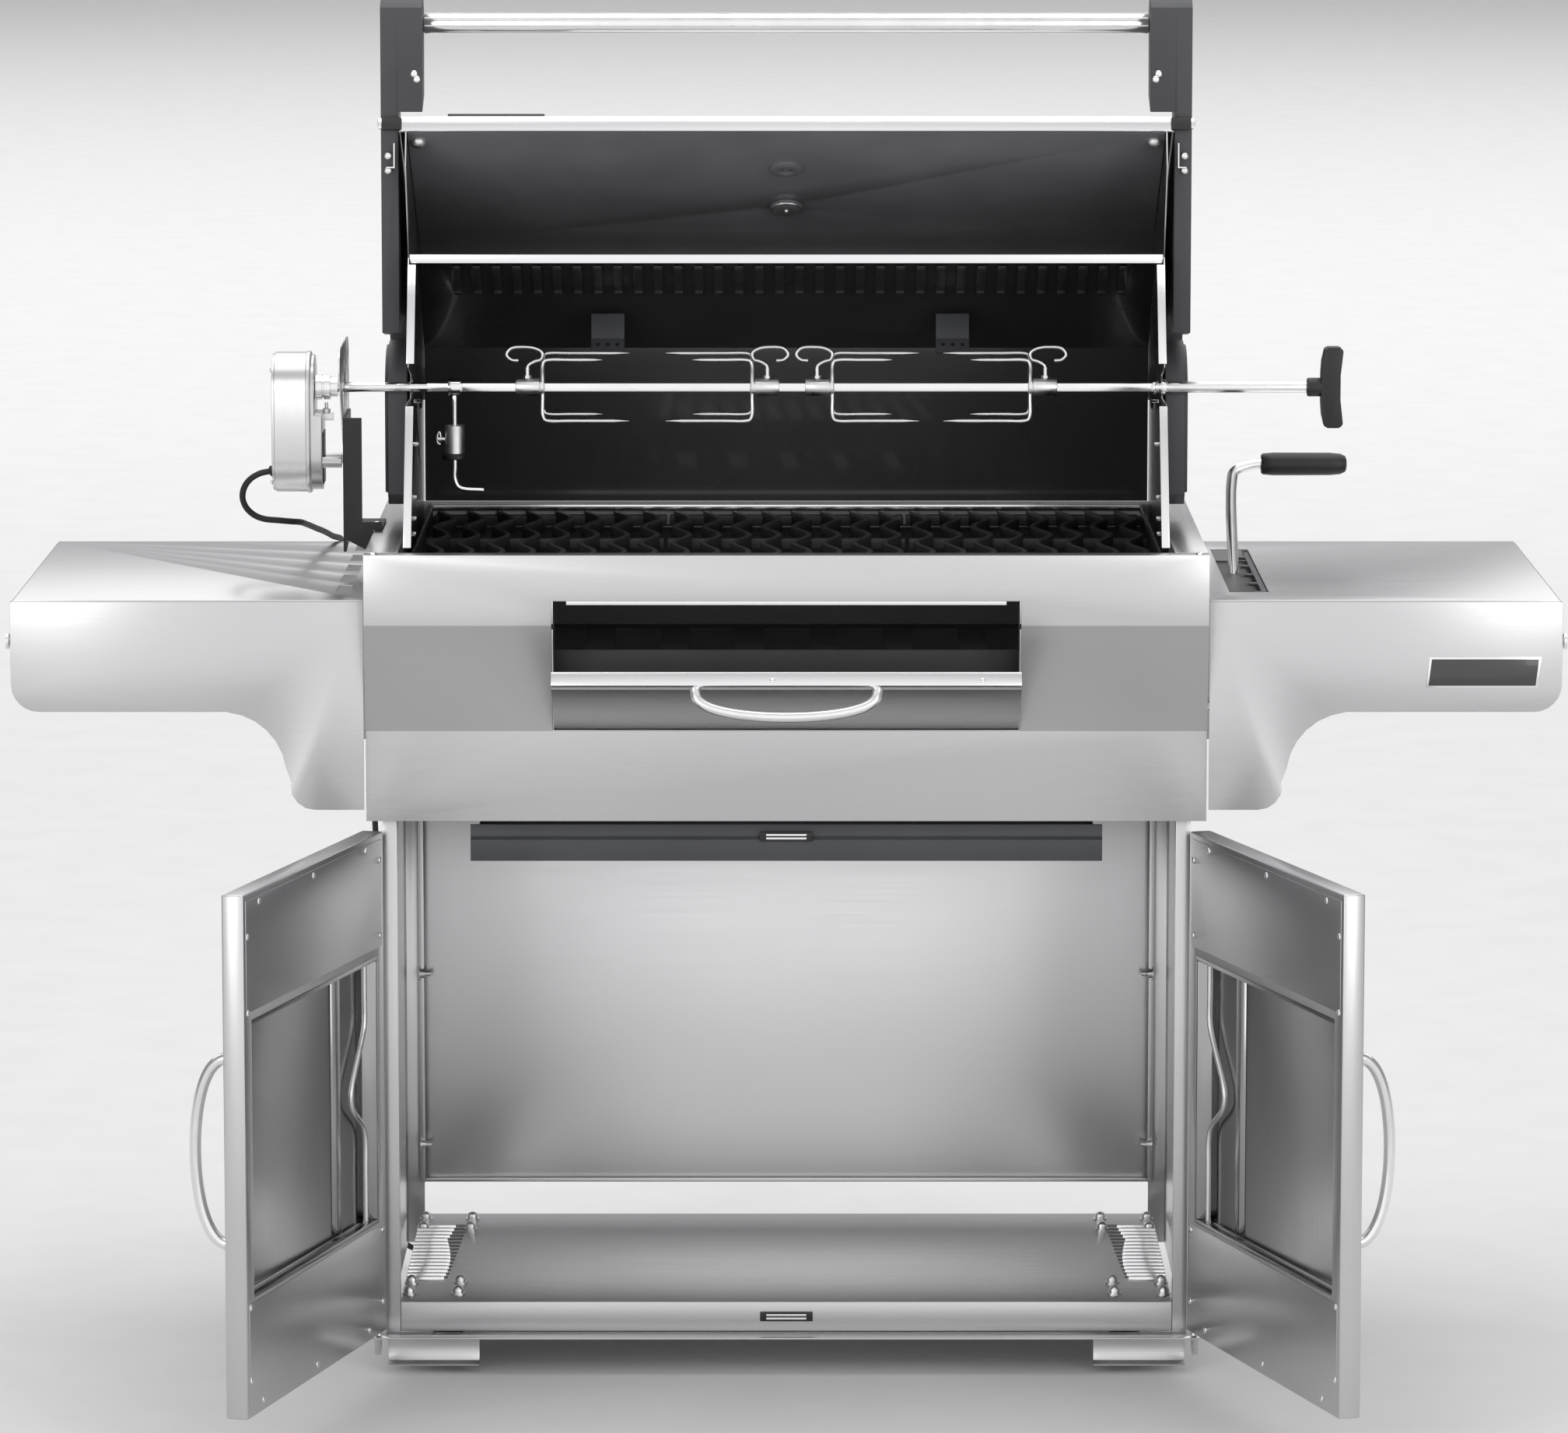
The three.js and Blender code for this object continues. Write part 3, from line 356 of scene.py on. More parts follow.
class Shape:
    """A mesh built up in millimetres in a drawing frame, from prisms, turned solids and swept bars."""

    def __init__(self):
        self.bm = bmesh.new()

    def prism(self, outline, low, high, axis="x"):
        """An outline in (y, z), (x, z) or (x, y), drawn out along x, y or z."""
        order = {"x": (2, 0, 1), "y": (0, 2, 1), "z": (0, 1, 2)}[axis]
        ends = []
        for along in (low, high):
            drawn = [(a, b, along) for a, b in outline]
            ends.append([self.bm.verts.new([q[i] for i in order]) for q in drawn])
        count = len(outline)
        faces = [self.bm.faces.new(ends[0]), self.bm.faces.new(ends[1])]
        for i in range(count):
            j = (i + 1) % count
            faces.append(self.bm.faces.new((ends[0][i], ends[0][j], ends[1][j], ends[1][i])))
        bmesh.ops.recalc_face_normals(self.bm, faces=faces)
        return self

    def box(self, low, high):
        (x0, y0, z0), (x1, y1, z1) = low, high
        return self.prism([(y0, z0), (y1, z0), (y1, z1), (y0, z1)], x0, x1)

    def turned(self, profile, origin=(0, 0, 0), axis="z", sides=32):
        """A profile in (radius, height) from axis to axis, turned about an axis, a letter or a vector."""
        up = Vector(AXES[axis] if isinstance(axis, str) else axis)
        turn = Vector((0, 0, 1)).rotation_difference(up).to_matrix()
        rings = []
        for radius, height in profile:
            count = 1 if radius < 1e-6 else sides
            around = [2 * pi * i / count for i in range(count)]
            rings.append([
                self.bm.verts.new(turn @ Vector((radius * cos(a), radius * sin(a), height)) + Vector(origin))
                for a in around
            ])
        faces = []
        for lower, upper in zip(rings, rings[1:]):
            for i in range(sides):
                j = (i + 1) % sides
                below = [lower[i % len(lower)], lower[j % len(lower)]]
                above = [upper[j % len(upper)], upper[i % len(upper)]]
                corners = list(dict.fromkeys(below + above))
                if len(corners) > 2:
                    faces.append(self.bm.faces.new(corners))
        bmesh.ops.recalc_face_normals(self.bm, faces=faces)
        return self

    def bar(self, points, radius, sides=16, between=6, tip=0.0):
        """A round bar along a smooth curve; tip is the length over which its end is drawn to a point."""
        path = smooth_route(points, between)
        total = sum((b - a).length for a, b in zip(path, path[1:]))
        side = (path[1] - path[0]).normalized().orthogonal()
        rings, gone = [], 0.0
        for i, q in enumerate(path):
            along = (path[min(i + 1, len(path) - 1)] - path[max(i - 1, 0)]).normalized()
            side = (side - side.dot(along) * along).normalized()
            other = along.cross(side)
            if i:
                gone += (q - path[i - 1]).length
            scale = min(1.0, max(0.12, (total - gone) / tip)) if tip else 1.0
            rings.append([
                self.bm.verts.new(q + radius * scale * (cos(a) * side + sin(a) * other))
                for a in (2 * pi * k / sides for k in range(sides))
            ])
        faces = [self.bm.faces.new(rings[0]), self.bm.faces.new(rings[-1])]
        for lower, upper in zip(rings, rings[1:]):
            for k in range(sides):
                j = (k + 1) % sides
                faces.append(self.bm.faces.new((lower[k], lower[j], upper[j], upper[k])))
        bmesh.ops.recalc_face_normals(self.bm, faces=faces)
        return self

    def sheet(self, line, low, high, thickness=1.5, axis="x"):
        """Sheet bent along a line, its thickness laid to the left of the line."""
        return self.prism(bent(line, thickness), low, high, axis)

    def dome(self, origin, axis, r, height):
        """A domed head, such as a screw's."""
        edge = [(r, height * 0.35), (r * 0.86, height * 0.72), (r * 0.5, height * 0.95)]
        profile = [(0, 0), (r, 0), *edge, (0, height)]
        return self.turned(profile, origin, axis, 14)

    def mirrored(self):
        """Adds the shape's mirror image on the other side of x = 0."""
        drawn = self.bm.verts[:] + self.bm.edges[:] + self.bm.faces[:]
        made = bmesh.ops.duplicate(self.bm, geom=drawn)["geom"]
        for part in made:
            if isinstance(part, bmesh.types.BMVert):
                part.co.x = -part.co.x
        bmesh.ops.reverse_faces(self.bm, faces=[f for f in made if isinstance(f, bmesh.types.BMFace)])
        return self


def bent(line, thickness):
    p = [Vector(q) for q in line]
    along = [(b - a).normalized() for a, b in zip(p, p[1:])]
    side = [Vector((-d.y, d.x)) for d in along]
    inner = []
    for i, q in enumerate(p):
        a, b = side[max(i - 1, 0)], side[min(i, len(side) - 1)]
        mitre = (a + b).normalized()
        inner.append(q + mitre * thickness / mitre.dot(b))
    return [tuple(q) for q in p + inner[::-1]]


def round_edges(bm, width, segments=2, sharp=28):
    """Rounds the mesh's sharp edges by a small radius."""
    edges = [e for e in bm.edges if len(e.link_faces) == 2 and e.calc_face_angle(0) > radians(sharp)]
    bmesh.ops.bevel(bm, geom=edges, offset=width, offset_type="OFFSET", segments=segments, profile=0.5,
                    affect="EDGES", clamp_overlap=True)


def link_mesh(name, bm, looks, smooth=ROUND):
    mesh = bpy.data.meshes.new(name)
    bm.to_mesh(mesh)
    bm.free()
    for look in looks:
        mesh.materials.append(LOOKS[look])
    mesh.shade_smooth()
    mesh.set_sharp_from_angle(angle=radians(smooth))
    piece = bpy.data.objects.new(name, mesh)
    bpy.context.scene.collection.objects.link(piece)
    return piece


def add(name, shape, look, body="cart", edge=0.0, replaces=()):
    """Puts a drawn shape in place on its body."""
    if edge:
        round_edges(shape.bm, edge)
    place = Matrix.Translation(SHIFT) @ Matrix.Scale(MM, 4) @ PLACES[body]
    shape.bm.transform(place)
    if place.determinant() < 0:
        bmesh.ops.reverse_faces(shape.bm, faces=shape.bm.faces[:])
    piece = link_mesh(name, shape.bm, [look])
    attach(piece, body)
    if replaces:
        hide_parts(*replaces)
    return piece


def dress(node, looks, edge=0.4, pick=None, smooth=ROUND):
    """Stands for a CAD node with its faces cleaned, its edges rounded and a look on each face."""
    bm = bmesh.new()
    bm.from_mesh(frame["nodes"][node].data)
    bmesh.ops.remove_doubles(bm, verts=bm.verts[:], dist=2e-6)
    bmesh.ops.dissolve_limit(bm, angle_limit=radians(0.4), verts=bm.verts[:], edges=bm.edges[:])
    if pick:
        drawn = (Matrix.Translation(SHIFT) @ Matrix.Scale(MM, 4) @ PLACES[BODY_OF[node]]).inverted()
        turn = drawn.to_3x3()
        for face in bm.faces:
            face.material_index = pick(drawn @ face.calc_center_median(), (turn @ face.normal).normalized())
    if edge:
        round_edges(bm, edge * MM)
    piece = link_mesh(f"{node}_finished", bm, looks, smooth)
    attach(piece, BODY_OF[node])
    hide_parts(node)
    return piece


lead()

# ---------- cart ----------
SIDES = ("left", "right")
CORNERS = ("front_left", "front_right", "rear_left", "rear_right")
FLOOR_TOP = 78
CABINET_X = 424


def fascia_pick(at, normal):
    """The sloping middle band, which faces a little downwards, gets the darker steel as painted shade."""
    return 1 if normal.y < -0.5 and normal.z < -0.12 else 0


def body_panels():
    dress("fascia", ["steel_x", "steel_dark"], 0.6, fascia_pick)
    dress("body_shell", ["steel_y"], 0.4)
    dress("firebox", ["enamel"], 0.5)
    dress("shelf_left", ["steel_x"], 0.5)
    dress("shelf_right", ["steel_x"], 0.5)
    dress("lever_gate", ["paint"], 0.5)
    for side in SIDES:
        dress(f"cabinet_{side}_side", ["steel_z"], 0.4)
        dress(f"shelf_knob_{side}", ["chrome"], 0)
    # The back panel's lighter steel is painted light.
    dress("cabinet_back", ["steel_back_painted_light"], 0.3)
    dress("cabinet_floor", ["steel_x"], 0.8)
    dress("door_sill", ["steel_x"], 0.5)
    dress("ash_pan", ["paint"], 0.4)
    dress("charcoal_tray", ["iron"], 0.4)
    for corner in CORNERS:
        dress(f"caster_yoke_{corner}", ["steel_y"], 0.5)
        dress(f"caster_wheel_{corner}", ["rubber"], 0.8)


def mouth_trim():
    """Folded jambs round the firebox mouth and a strip under its top edge in lighter steel, a painted
    highlight.
    """
    jamb = Shape()
    jamb.prism([(-289.8, 862), (-289.8, 837), (-250, 837), (-250, 862)], 252.4, 253.8)
    jamb.prism([(-288.6, 831), (-262, 717), (-250, 717), (-250, 831)], 252.4, 253.8).mirrored()
    jamb.box((-254, -289, 861.4), (254, -268, 862))
    jamb.box((-254, -262, 716), (254, -250, 717))
    add("mouth_jambs", jamb, "steel_z", edge=0.3)
    strip = Shape().sheet([(-286, 863), (-286, 857), (-280, 857)], -238, 238, 1.2)
    add("mouth_top_strip", strip, "steel_painted_highlight", edge=0.3)


def catches():
    """Door magnets: a black frame round two bright pole plates, their lighter steel partly a painted
    highlight, one under the pan and one on the rail.
    """
    for name, y, z, body in (("upper", -236.7, 591, "pan"), ("lower", -240.7, 56.5, "cart")):
        case = Shape().box((-29, y - 3, z), (29, y, z + 10.5))
        add(f"{name}_catch_case", case, "black", body, 0.8)
        poles = Shape()
        for z0 in (z + 2.2, z + 6.0):
            poles.box((-22, y - 3.8, z0), (22, y - 2.5, z0 + 2.3))
        add(f"{name}_catch_poles", poles, "steel_painted_highlight", body, edge=0.3)


def deck_screws():
    heads = Shape()
    heads.dome((447, -281, 911.6), "z", 4.5, 2.6)
    heads.dome((436, 205, 911.6), "z", 4.5, 2.6)
    heads.mirrored()
    add("deck_screws", heads, "chrome")


def caster_plate_nuts():
    nuts = Shape()
    profile = [(0, 0), (8, 0), (8, 1.4), (6, 1.5), (6, 5), (4.6, 7.6), (2.2, 9), (0, 9.3)]
    for sy in (-1, 1):
        for dx in (-27, 27):
            for dy in (-28, 28):
                nuts.turned(profile, (-390 + dx, sy * 172 + dy, FLOOR_TOP), "z", 12)
    add("caster_plate_nuts", nuts.mirrored(), "satin_chrome")


def floor_vents():
    """Raised louvres at each end of the floor in lighter steel, a painted highlight, with a thin dark sheet
    behind each as the slit's painted shade.
    """
    count, first, pitch = 16, -128, 18.5
    vents = Shape()
    slit_shades = Shape()
    for i in range(count):
        y = first + i * pitch
        reach = 37 + 8 * abs(sin(pi * (i + 3) / 14))
        ridge = [(y, FLOOR_TOP), (y + 1.2, FLOOR_TOP + 3.4), (y + 5, FLOOR_TOP + 3.4), (y + 9, FLOOR_TOP)]
        vents.prism(ridge, -CABINET_X, reach - CABINET_X)
        slit_shades.box((-CABINET_X, y + 9, FLOOR_TOP), (46 - CABINET_X + 0.7 * i, y + 18, FLOOR_TOP + 0.3))
    add("floor_vents", vents.mirrored(), "steel_painted_highlight", edge=0.4)
    add("floor_vent_slit_shades", slit_shades.mirrored(), "paint")


def back_panel():
    """Its bolts and washers on the side posts, and the hems round its edges."""
    bolt = [(0, 0), (5.5, 0), (5.5, 5), (3, 5.2), (3, 12), (0, 12.5)]
    washer = [(0, 0), (8, 0), (8, 1.2), (0, 1.4)]
    bolts = Shape()
    for z in (362, 161):
        bolts.turned(bolt, (1 - CABINET_X, 226, z), "x", 12)
        bolts.turned(washer, (-CABINET_X, 226, z), "x", 16)
    add("back_panel_bolts", bolts.mirrored(), "satin_chrome")
    hem = Shape()
    hem.sheet([(-425, 234.6), (-425, 226), (-419, 226)], 116, 610, 1.2, "z").mirrored()
    hem.box((-CABINET_X, 229, 116), (CABINET_X, 234.6, 120))
    add("back_panel_hems", hem, "steel_z", edge=0.3)


def shelf_badge():
    """A blank slanted plate in a bright rim on the right shelf's front."""
    slant = [(694, 764), (815, 764), (819, 798), (698, 798)]
    inner = [(696.5, 766.5), (812.8, 766.5), (816.4, 795.5), (700, 795.5)]
    rim = Shape().prism(slant, -268.1, -266.7, "y")
    add("badge_rim", rim, "chrome", edge=0.4)
    add("badge_plate", Shape().prism(inner, -268.5, -267.6, "y"), "enamel", edge=0.3)


def shelf_trim():
    seam = Shape().box((459.4, -267, 858), (841, -266.6, 858.6))
    add("shelf_front_seams", seam.mirrored(), "steel_dark")
    # A thin black sheet under the lever's slot: painted shade in the slot.
    slot_shade = Shape().box((484.5, -197, 846), (526.5, 193, 846.6))
    add("lever_slot_painted_shade", slot_shade, "black")


# ---------- hood ----------
def back_pick(at, normal):
    """The hood back's front lip gets lighter steel as a painted highlight, its inside enamel and its outside
    bare steel.
    """
    lip = at.y < -88 and normal.y < -0.5
    if lip:
        return 1
    inside = normal.y < -0.02 or (normal.z < -0.2 and abs(normal.x) < 0.5)
    return 0 if inside else 2


def hood_shell():
    dress("hood_back", ["enamel", "steel_painted_highlight", "steel_x"], 0.4, back_pick)
    for side, sign in zip(SIDES, (-1, 1)):
        # The walls' inner strip gets the lighter steel, a painted highlight.
        def wall_pick(at, normal, sign=sign):
            if normal.x * sign < -0.5 and abs(at.x) > 413:
                return 0
            return 1 if abs(at.x) < 414.4 else 2

        dress(f"hood_{side}_wall", ["enamel", "steel_painted_highlight", "steel_y"], 0.3, wall_pick)
        dress(f"{side}_end_casting", ["cast"], 2.5)


def hood_louvres():
    """Pressed louvres across the hood's inner slope, each with a lip at its lower end."""
    count, pitch, length = 34, 22.7, 74
    slope = Vector((150 - 60, 1155 - 1203)).normalized()
    under = Vector((slope.y, -slope.x))
    louvres = Shape()
    lips = Shape()
    for i in range(count):
        x = (i - (count - 1) / 2) * pitch
        base = Vector((72, 1196.6)) + under * 2.6
        end = base + slope * length
        ridge = [base, base + under * 3.5 + slope * 5, end + under * 3.5 - slope * 5, end]
        louvres.prism([tuple(q) for q in ridge], x - 2, x + 9)
        lip = [end - slope * 9, end - slope * 9 + under * 5, end + under * 4, end]
        lips.prism([tuple(q) for q in lip], x - 1, x + 8)
    add("hood_louvres", louvres, "enamel", edge=1.2)
    add("hood_louvre_lips", lips, "paint", edge=0.5)


def hood_hooks():
    """Two brackets inside the hood's back, each with three small holes in its foot, drawn as black discs of
    painted shade.
    """
    hole = [(0, 0), (2.2, 0), (2.2, 0.5), (0, 0.6)]
    outline = [(153, 1134), (146, 1134), (141, 1106), (130, 1092), (133, 1089), (146, 1104)]
    hooks = Shape()
    hole_shades = Shape()
    for x in (-202, 188):
        hooks.prism(outline, x - 19, x + 19)
        for dx in (-11, 0, 11):
            hole_shades.turned(hole, (x + dx, 136.2, 1099.5), (0, -0.78, 0.62), 10)
    add("hood_hooks", hooks, "paint", edge=1.0)
    add("hood_hook_hole_shades", hole_shades, "black")


def rear_ledge():
    # The ledge's lighter steel is a painted highlight.
    ledge = Shape().sheet([(214, 909.5), (205, 909.5), (205, 904)], -404, 404, 1.2)
    add("rear_ledge", ledge, "steel_painted_highlight", edge=0.3)


def hood_wing_nuts():
    studs = Shape()
    for y, z in ((-130, 1015), (-178, 962), (-190, 940), (-205, 925)):
        studs.turned([(0, 0), (4.5, 0), (4.5, 3), (2.5, 3.4), (2.5, 10), (0, 10.5)], (-414, y, z), "x", 10)
        studs.box((-409, y - 7, z - 1.2), (-406.4, y + 7, z + 1.2))
    add("hood_wing_nuts", studs.mirrored(), "chrome")


def spit_cradles():
    saddle = [
        (-57, 1057), (-49, 1051), (-31, 1051), (-24, 1058),
        (-24, 1052), (-34, 1046), (-50, 1046), (-62, 1054),
    ]
    # The cradles' lighter steel is a painted highlight.
    add("spit_cradles", Shape().prism(saddle, 404, 412).mirrored(), "steel_painted_highlight", edge=0.4)


# ---------- lid ----------
LEAN = radians(68)
RIM = Vector((-304, -130))
UP_FACE = Vector((cos(LEAN), sin(LEAN)))
INWARD = Vector((sin(LEAN), -cos(LEAN)))
INTO_LID = (0, INWARD.x, INWARD.y)
DOWN_PILLAR = (0, 0.1, -1)


def on_face(along, inward=0.0):
    """A point so far along the lid's sloping face from its rim, and so far inside it."""
    return tuple(RIM + UP_FACE * along + INWARD * inward)


def shell_pick(at, normal):
    """The inner faces of the shell's ends are enamelled."""
    return 1 if abs(at.x) < 420 and abs(normal.x) > 0.9 and normal.x * at.x < 0 else 0


def lid_shell():
    dress("lid_shell", ["steel_x", "enamel"], 0.4, shell_pick, 30)
    dress("lid_liner", ["lid_inside"], 0.4, None, 30)
    dress("lid_left_casting", ["cast"], 2.2)
    dress("lid_right_casting", ["cast"], 2.2)
    dress("thermometer", ["satin_chrome"], 0.3)


def lid_rim():
    """A strip along the lid's front edge and an end at each side in lighter steel, a painted highlight, with
    a black cap at each side.
    """
    outline = [on_face(-3, -0.5), on_face(-3, 17), on_face(-1, 17.4), on_face(-1, -0.5)]
    strip = Shape().prism(outline, -424, 424)
    add("lid_rim_strip", strip, "steel_painted_highlight", "lid", edge=0.5)
    caps = Shape().prism([on_face(-5, 1), on_face(-5, 16), on_face(-1, 16), on_face(-1, 1)], 423, 445)
    add("lid_rim_caps", caps.mirrored(), "black", "lid", 1.2)
    ends = Shape().prism([on_face(-4.6, 2), on_face(-4.6, 15), on_face(-1, 15), on_face(-1, 2)], 444.6, 449)
    add("lid_rim_ends", ends.mirrored(), "steel_painted_highlight", "lid", edge=1.2)


def lid_badge():
    badge = Shape().prism([on_face(8, -0.5), on_face(34, -0.5), on_face(34, -9), on_face(8, -9)], -373, -266)
    add("lid_badge_blank", badge, "paint", "lid", 1.5)


def lid_corners():
    """Domed studs and small clips at the lid's front corners."""
    bumpers = Shape()
    for x in (-406, 406):
        bumpers.dome((x, *on_face(26, 17)), INTO_LID, 9, 7)
    add("lid_bumpers", bumpers, "satin_chrome", "lid")
    clips = Shape()
    clips.sheet([(432, -276), (432, -250), (440, -250)], -134.5, -128, 1.4, "z")
    clips.dome((438, -262, -131.6), DOWN_PILLAR, 4, 3)
    clips.dome((438, -246, -130), DOWN_PILLAR, 4, 3)
    add("lid_clips", clips.mirrored(), "satin_chrome", "lid")


def lid_fittings():
    """The boss and the thermometer's rosette on the lid's inner face."""
    profile = [(5, 0), (18, 0), (18, 3), (15, 4.5), (8, 4.5), (5, 3), (5, 0)]
    boss = (0, *on_face(97, 17.2))
    ring = Shape().turned(profile, boss, INTO_LID, 32)
    ring.dome(boss, INTO_LID, 4.5, 3)
    add("lid_boss_ring", ring, "lid_inside", "lid")
    profile = [(3, 0), (18.5, 0), (18.5, 3), (15, 5.2), (7, 5.6), (3, 5.6), (3, 0)]
    rosette = Shape().turned(profile, (0, *on_face(202, 17.4)), INTO_LID, 32)
    add("thermometer_rosette", rosette, "lid_inside", "lid")


def lid_handle():
    """The tube between the pillars, with fine beads along it, and the pillars' screws."""
    y, z, r, half = -408, -114, 11, 399.4
    profile = [(0, -half), (9.6, -half), (r, -397), (r, 397), (9.6, half), (0, half)]
    tube = Shape().turned(profile, (0, y, z), "x", 40)
    add("lid_handle_tube", tube, "chrome", "lid", replaces=["lid_handle"])
    beads = Shape()
    for angle in (150, 195, 240, 285):
        at = (y + r * cos(radians(angle)), z + r * sin(radians(angle)))
        beads.bar([(-398, *at), (0, *at), (398, *at)], 0.9, 8, 1)
    add("lid_handle_beads", beads, "satin_chrome", "lid")
    screws = Shape()
    screws.dome((409, -352, -136.4), DOWN_PILLAR, 4.2, 2.6)
    screws.dome((406, -346, -136), DOWN_PILLAR, 4.2, 2.6)
    add("lid_pillar_screws", screws.mirrored(), "chrome", "lid")


# ---------- doors ----------
def bow_points(at, reach, spread, rise=0.7):
    """A handle's bow: at(offset along the spread, stand-off) gives each point."""
    count = 14
    points = []
    for i in range(count + 1):
        angle = pi * i / count
        points.append(at(-spread * cos(angle), reach * sin(angle) ** rise))
    return points


def door_pick(at, normal):
    """Darker liner steel on the recess's floor as painted shade, grain across on the inner face round it,
    upright grain elsewhere.
    """
    if normal.y <= 0.9:
        return 0
    return 1 if at.y < 5 else 2


def door_handle(side, body):
    x, low, high = 413, 227.5, 427.5
    middle = (low + high) / 2
    bow = bow_points(lambda along, out: (x, -11.5 - out, middle + along), 46, 100)
    shape = Shape().bar(bow, 6.2, 20, 4)
    for z in (low, high):
        shape.turned([(0, 0), (9, 0), (9, 2), (7, 3.4), (0, 3.4)], (x, -13.6, z), (0, -1, 0), 20)
    add(f"{body}_handle_bow", shape, "chrome", body, replaces=[f"door_{side}_handle"])


def door_folds(body):
    """Folded edges of the door's recess, and a pressed rib down it, in the darker liner steel as painted
    shade.
    """
    folds = Shape()
    folds.box((24, 4, 466), (425, 10.9, 471))
    folds.box((24, 4, 175), (425, 10.9, 180))
    folds.prism([(24, -6), (24, 10.9), (30, 10.9), (36, -4), (50, -6.1)], 180, 466, "z")
    folds.prism([(108, -6.4), (114, -1.6), (126, -1.6), (132, -6.4)], 180, 466, "z")
    add(f"{body}_liner_folds", folds, "liner", body, edge=0.8)


def door_stay_rod(body):
    rod = Shape().bar([
        (44, 2, 470), (44, 2, 430), (44, 2, 402), (50, 2, 388), (86, 2, 340), (91, 2, 326), (86, 2, 312),
        (50, 2, 285), (44, 2, 270), (44, 2, 240), (44, 2, 176),
    ], 3.2, 14, 5)
    add(f"{body}_stay_rod", rod, "satin_chrome", body)


def door_screws(body):
    heads = Shape()
    for x, z in ((60, 592), (230, 592), (400, 592), (436, 560), (436, 480), (14, 575), (14, 492),
                 (436, 168), (436, 90), (14, 165), (14, 85), (60, 62), (230, 62), (400, 62)):
        heads.dome((x, 10.4, z), "y", 3.6, 2.2)
    add(f"{body}_screws", heads, "chrome", body)


def door_plates(body):
    """The steel plates above and below the recess."""
    plates = Shape()
    for low, high in ((480, 598), (57, 172)):
        plates.prism([(10, low), (10, high), (440, high), (440, low)], 10.3, 11.1, "y")
    add(f"{body}_liner_plates", plates, "steel_x", body, edge=0.4)


def cabinet_doors():
    for side in SIDES:
        body = f"{side}_door"
        dress(f"door_{side}", ["steel_z", "liner", "steel_x"], 1.6, door_pick)
        door_handle(side, body)
        door_folds(body)
        door_stay_rod(body)
        door_screws(body)
        door_plates(body)


def charcoal_door():
    dress("charcoal_door", ["steel_x"], 0.5)
    bow = bow_points(lambda along, out: (along, -out, 125), 32, 98)
    add("charcoal_door_bow", Shape().bar(bow, 6.2, 20, 4), "chrome", "coals_door",
        replaces=["charcoal_door_handle"])
    # The hem's lighter steel is a painted highlight.
    hem = Shape().sheet([(-0.9, 128), (-0.9, 140.3), (13.5, 140.3)], -251.8, 251.8, 1.0)
    add("charcoal_door_hem", hem, "steel_painted_highlight", "coals_door", edge=0.4)
    studs = Shape()
    for x in (-15, 210):
        studs.dome((x, 4, 139.9), "z", 3, 2.2)
    add("charcoal_door_studs", studs, "chrome", "coals_door")


# ---------- lever ----------
def lever():
    x, length, bend = 504.5, 292, 26
    arm = Shape()
    arm.bar([
        (x, 0, 0), (x, 0, length * 0.5), (x, 0, length - bend), (x + 4, 0, length - bend * 0.35),
        (x + bend * 0.65, 0, length - 3), (x + bend + 8, 0, length), (x + 60, 0, length),
    ], 6.2, 20, 8)
    arm.turned([(0, 388), (6, 388), (6, x + 8), (0, x + 8)], (0, 0, 0), "x", 20)
    arm.turned([(0, x - 9), (11, x - 9), (11, x + 9), (0, x + 9)], (0, 0, 0), "x", 24)
    arm.bar([(392, 0, 0), (392, 24, 5), (392, 48, 10)], 5, 12, 2)
    add("bed_lever_bar", arm, "chrome", "bed_lever", replaces=["lever_arm"])
    start = x + bend + 8
    grip = Shape().turned([
        (6.4, start), (10.5, start), (12, start + 2), (13, start + 14), (12.8, start + 78),
        (11.6, start + 90), (9, start + 95.5), (5, start + 97), (0, start + 97), (0, start + 61),
        (6.4, start + 61), (6.4, start),
    ], (0, 0, length), "x", 32)
    add("bed_lever_grip", grip, "black", "bed_lever", replaces=["lever_grip"])


# ---------- rotisserie ----------
WEIGHT_X = -368


def spit_bar():
    """Round at both ends and square between them, with a grooved collar."""
    rod = Shape()
    rod.turned([(0, -508), (5.5, -508), (5.5, -397), (0, -397)], (0, 0, 0), "x", 24)
    rod.box((-398, -4.5, -4.5), (503, 4.5, 4.5))
    rod.turned([(0, 421), (5.8, 421), (6.4, 423), (6.4, 592), (0, 592)], (0, 0, 0), "x", 24)
    collar = [(0, 406), (9, 406), (9, 411), (7, 412), (7, 414), (9, 415), (9, 420), (0, 420)]
    rod.turned(collar, (0, 0, 0), "x", 28)
    add("spit_bar", rod, "chrome", "spit", edge=0.3, replaces=["spit_rod"])


def spit_grip():
    grip = Shape()
    grip.turned([(6.8, 577), (10.5, 577), (10.5, 594), (6.8, 594), (6.8, 577)], (0, 0, 0), "x", 28)
    left_edge = [(592, -16), (593, -30), (596, -43), (600, -45)]
    right_edge = [(613, -45), (617, -41), (614, -14), (614, 14), (617, 41), (613, 45)]
    grip.prism([*left_edge, *right_edge, (600, 45), (596, 43), (593, 30), (592, 16)], -10, 10, "y")
    add("spit_grip", grip, "black", "spit", 2.2, ["spit_handle"])


def spit_socket():
    coupling = Shape().turned([
        (5.9, -512), (5.9, -497), (11, -497), (11, -504.6), (14, -505.4), (14, -512), (12.6, -512.6),
        (12.6, -514), (14, -514.6), (14, -521.4), (0, -521.4), (0, -512), (5.9, -512),
    ], (0, 0, 0), "x", 36)
    add("spit_socket", coupling, "chrome", "spit", replaces=["motor_coupling"])


def weight_arm():
    x = WEIGHT_X
    arm = Shape()
    arm.turned([(4.6, x - 7), (10, x - 7), (10, x + 7), (4.6, x + 7), (4.6, x - 7)], (0, 0, 0), "x", 28)
    hook = [(x, 0, -8), (x, 0, -60), (x, 0, -90), (x, 0, -103), (x + 5, 0, -112), (x + 32, 0, -115)]
    arm.bar(hook, 3.2, 16, 6)
    add("weight_arm", arm, "chrome", "spit", edge=0.3, replaces=["counterweight_arm"])


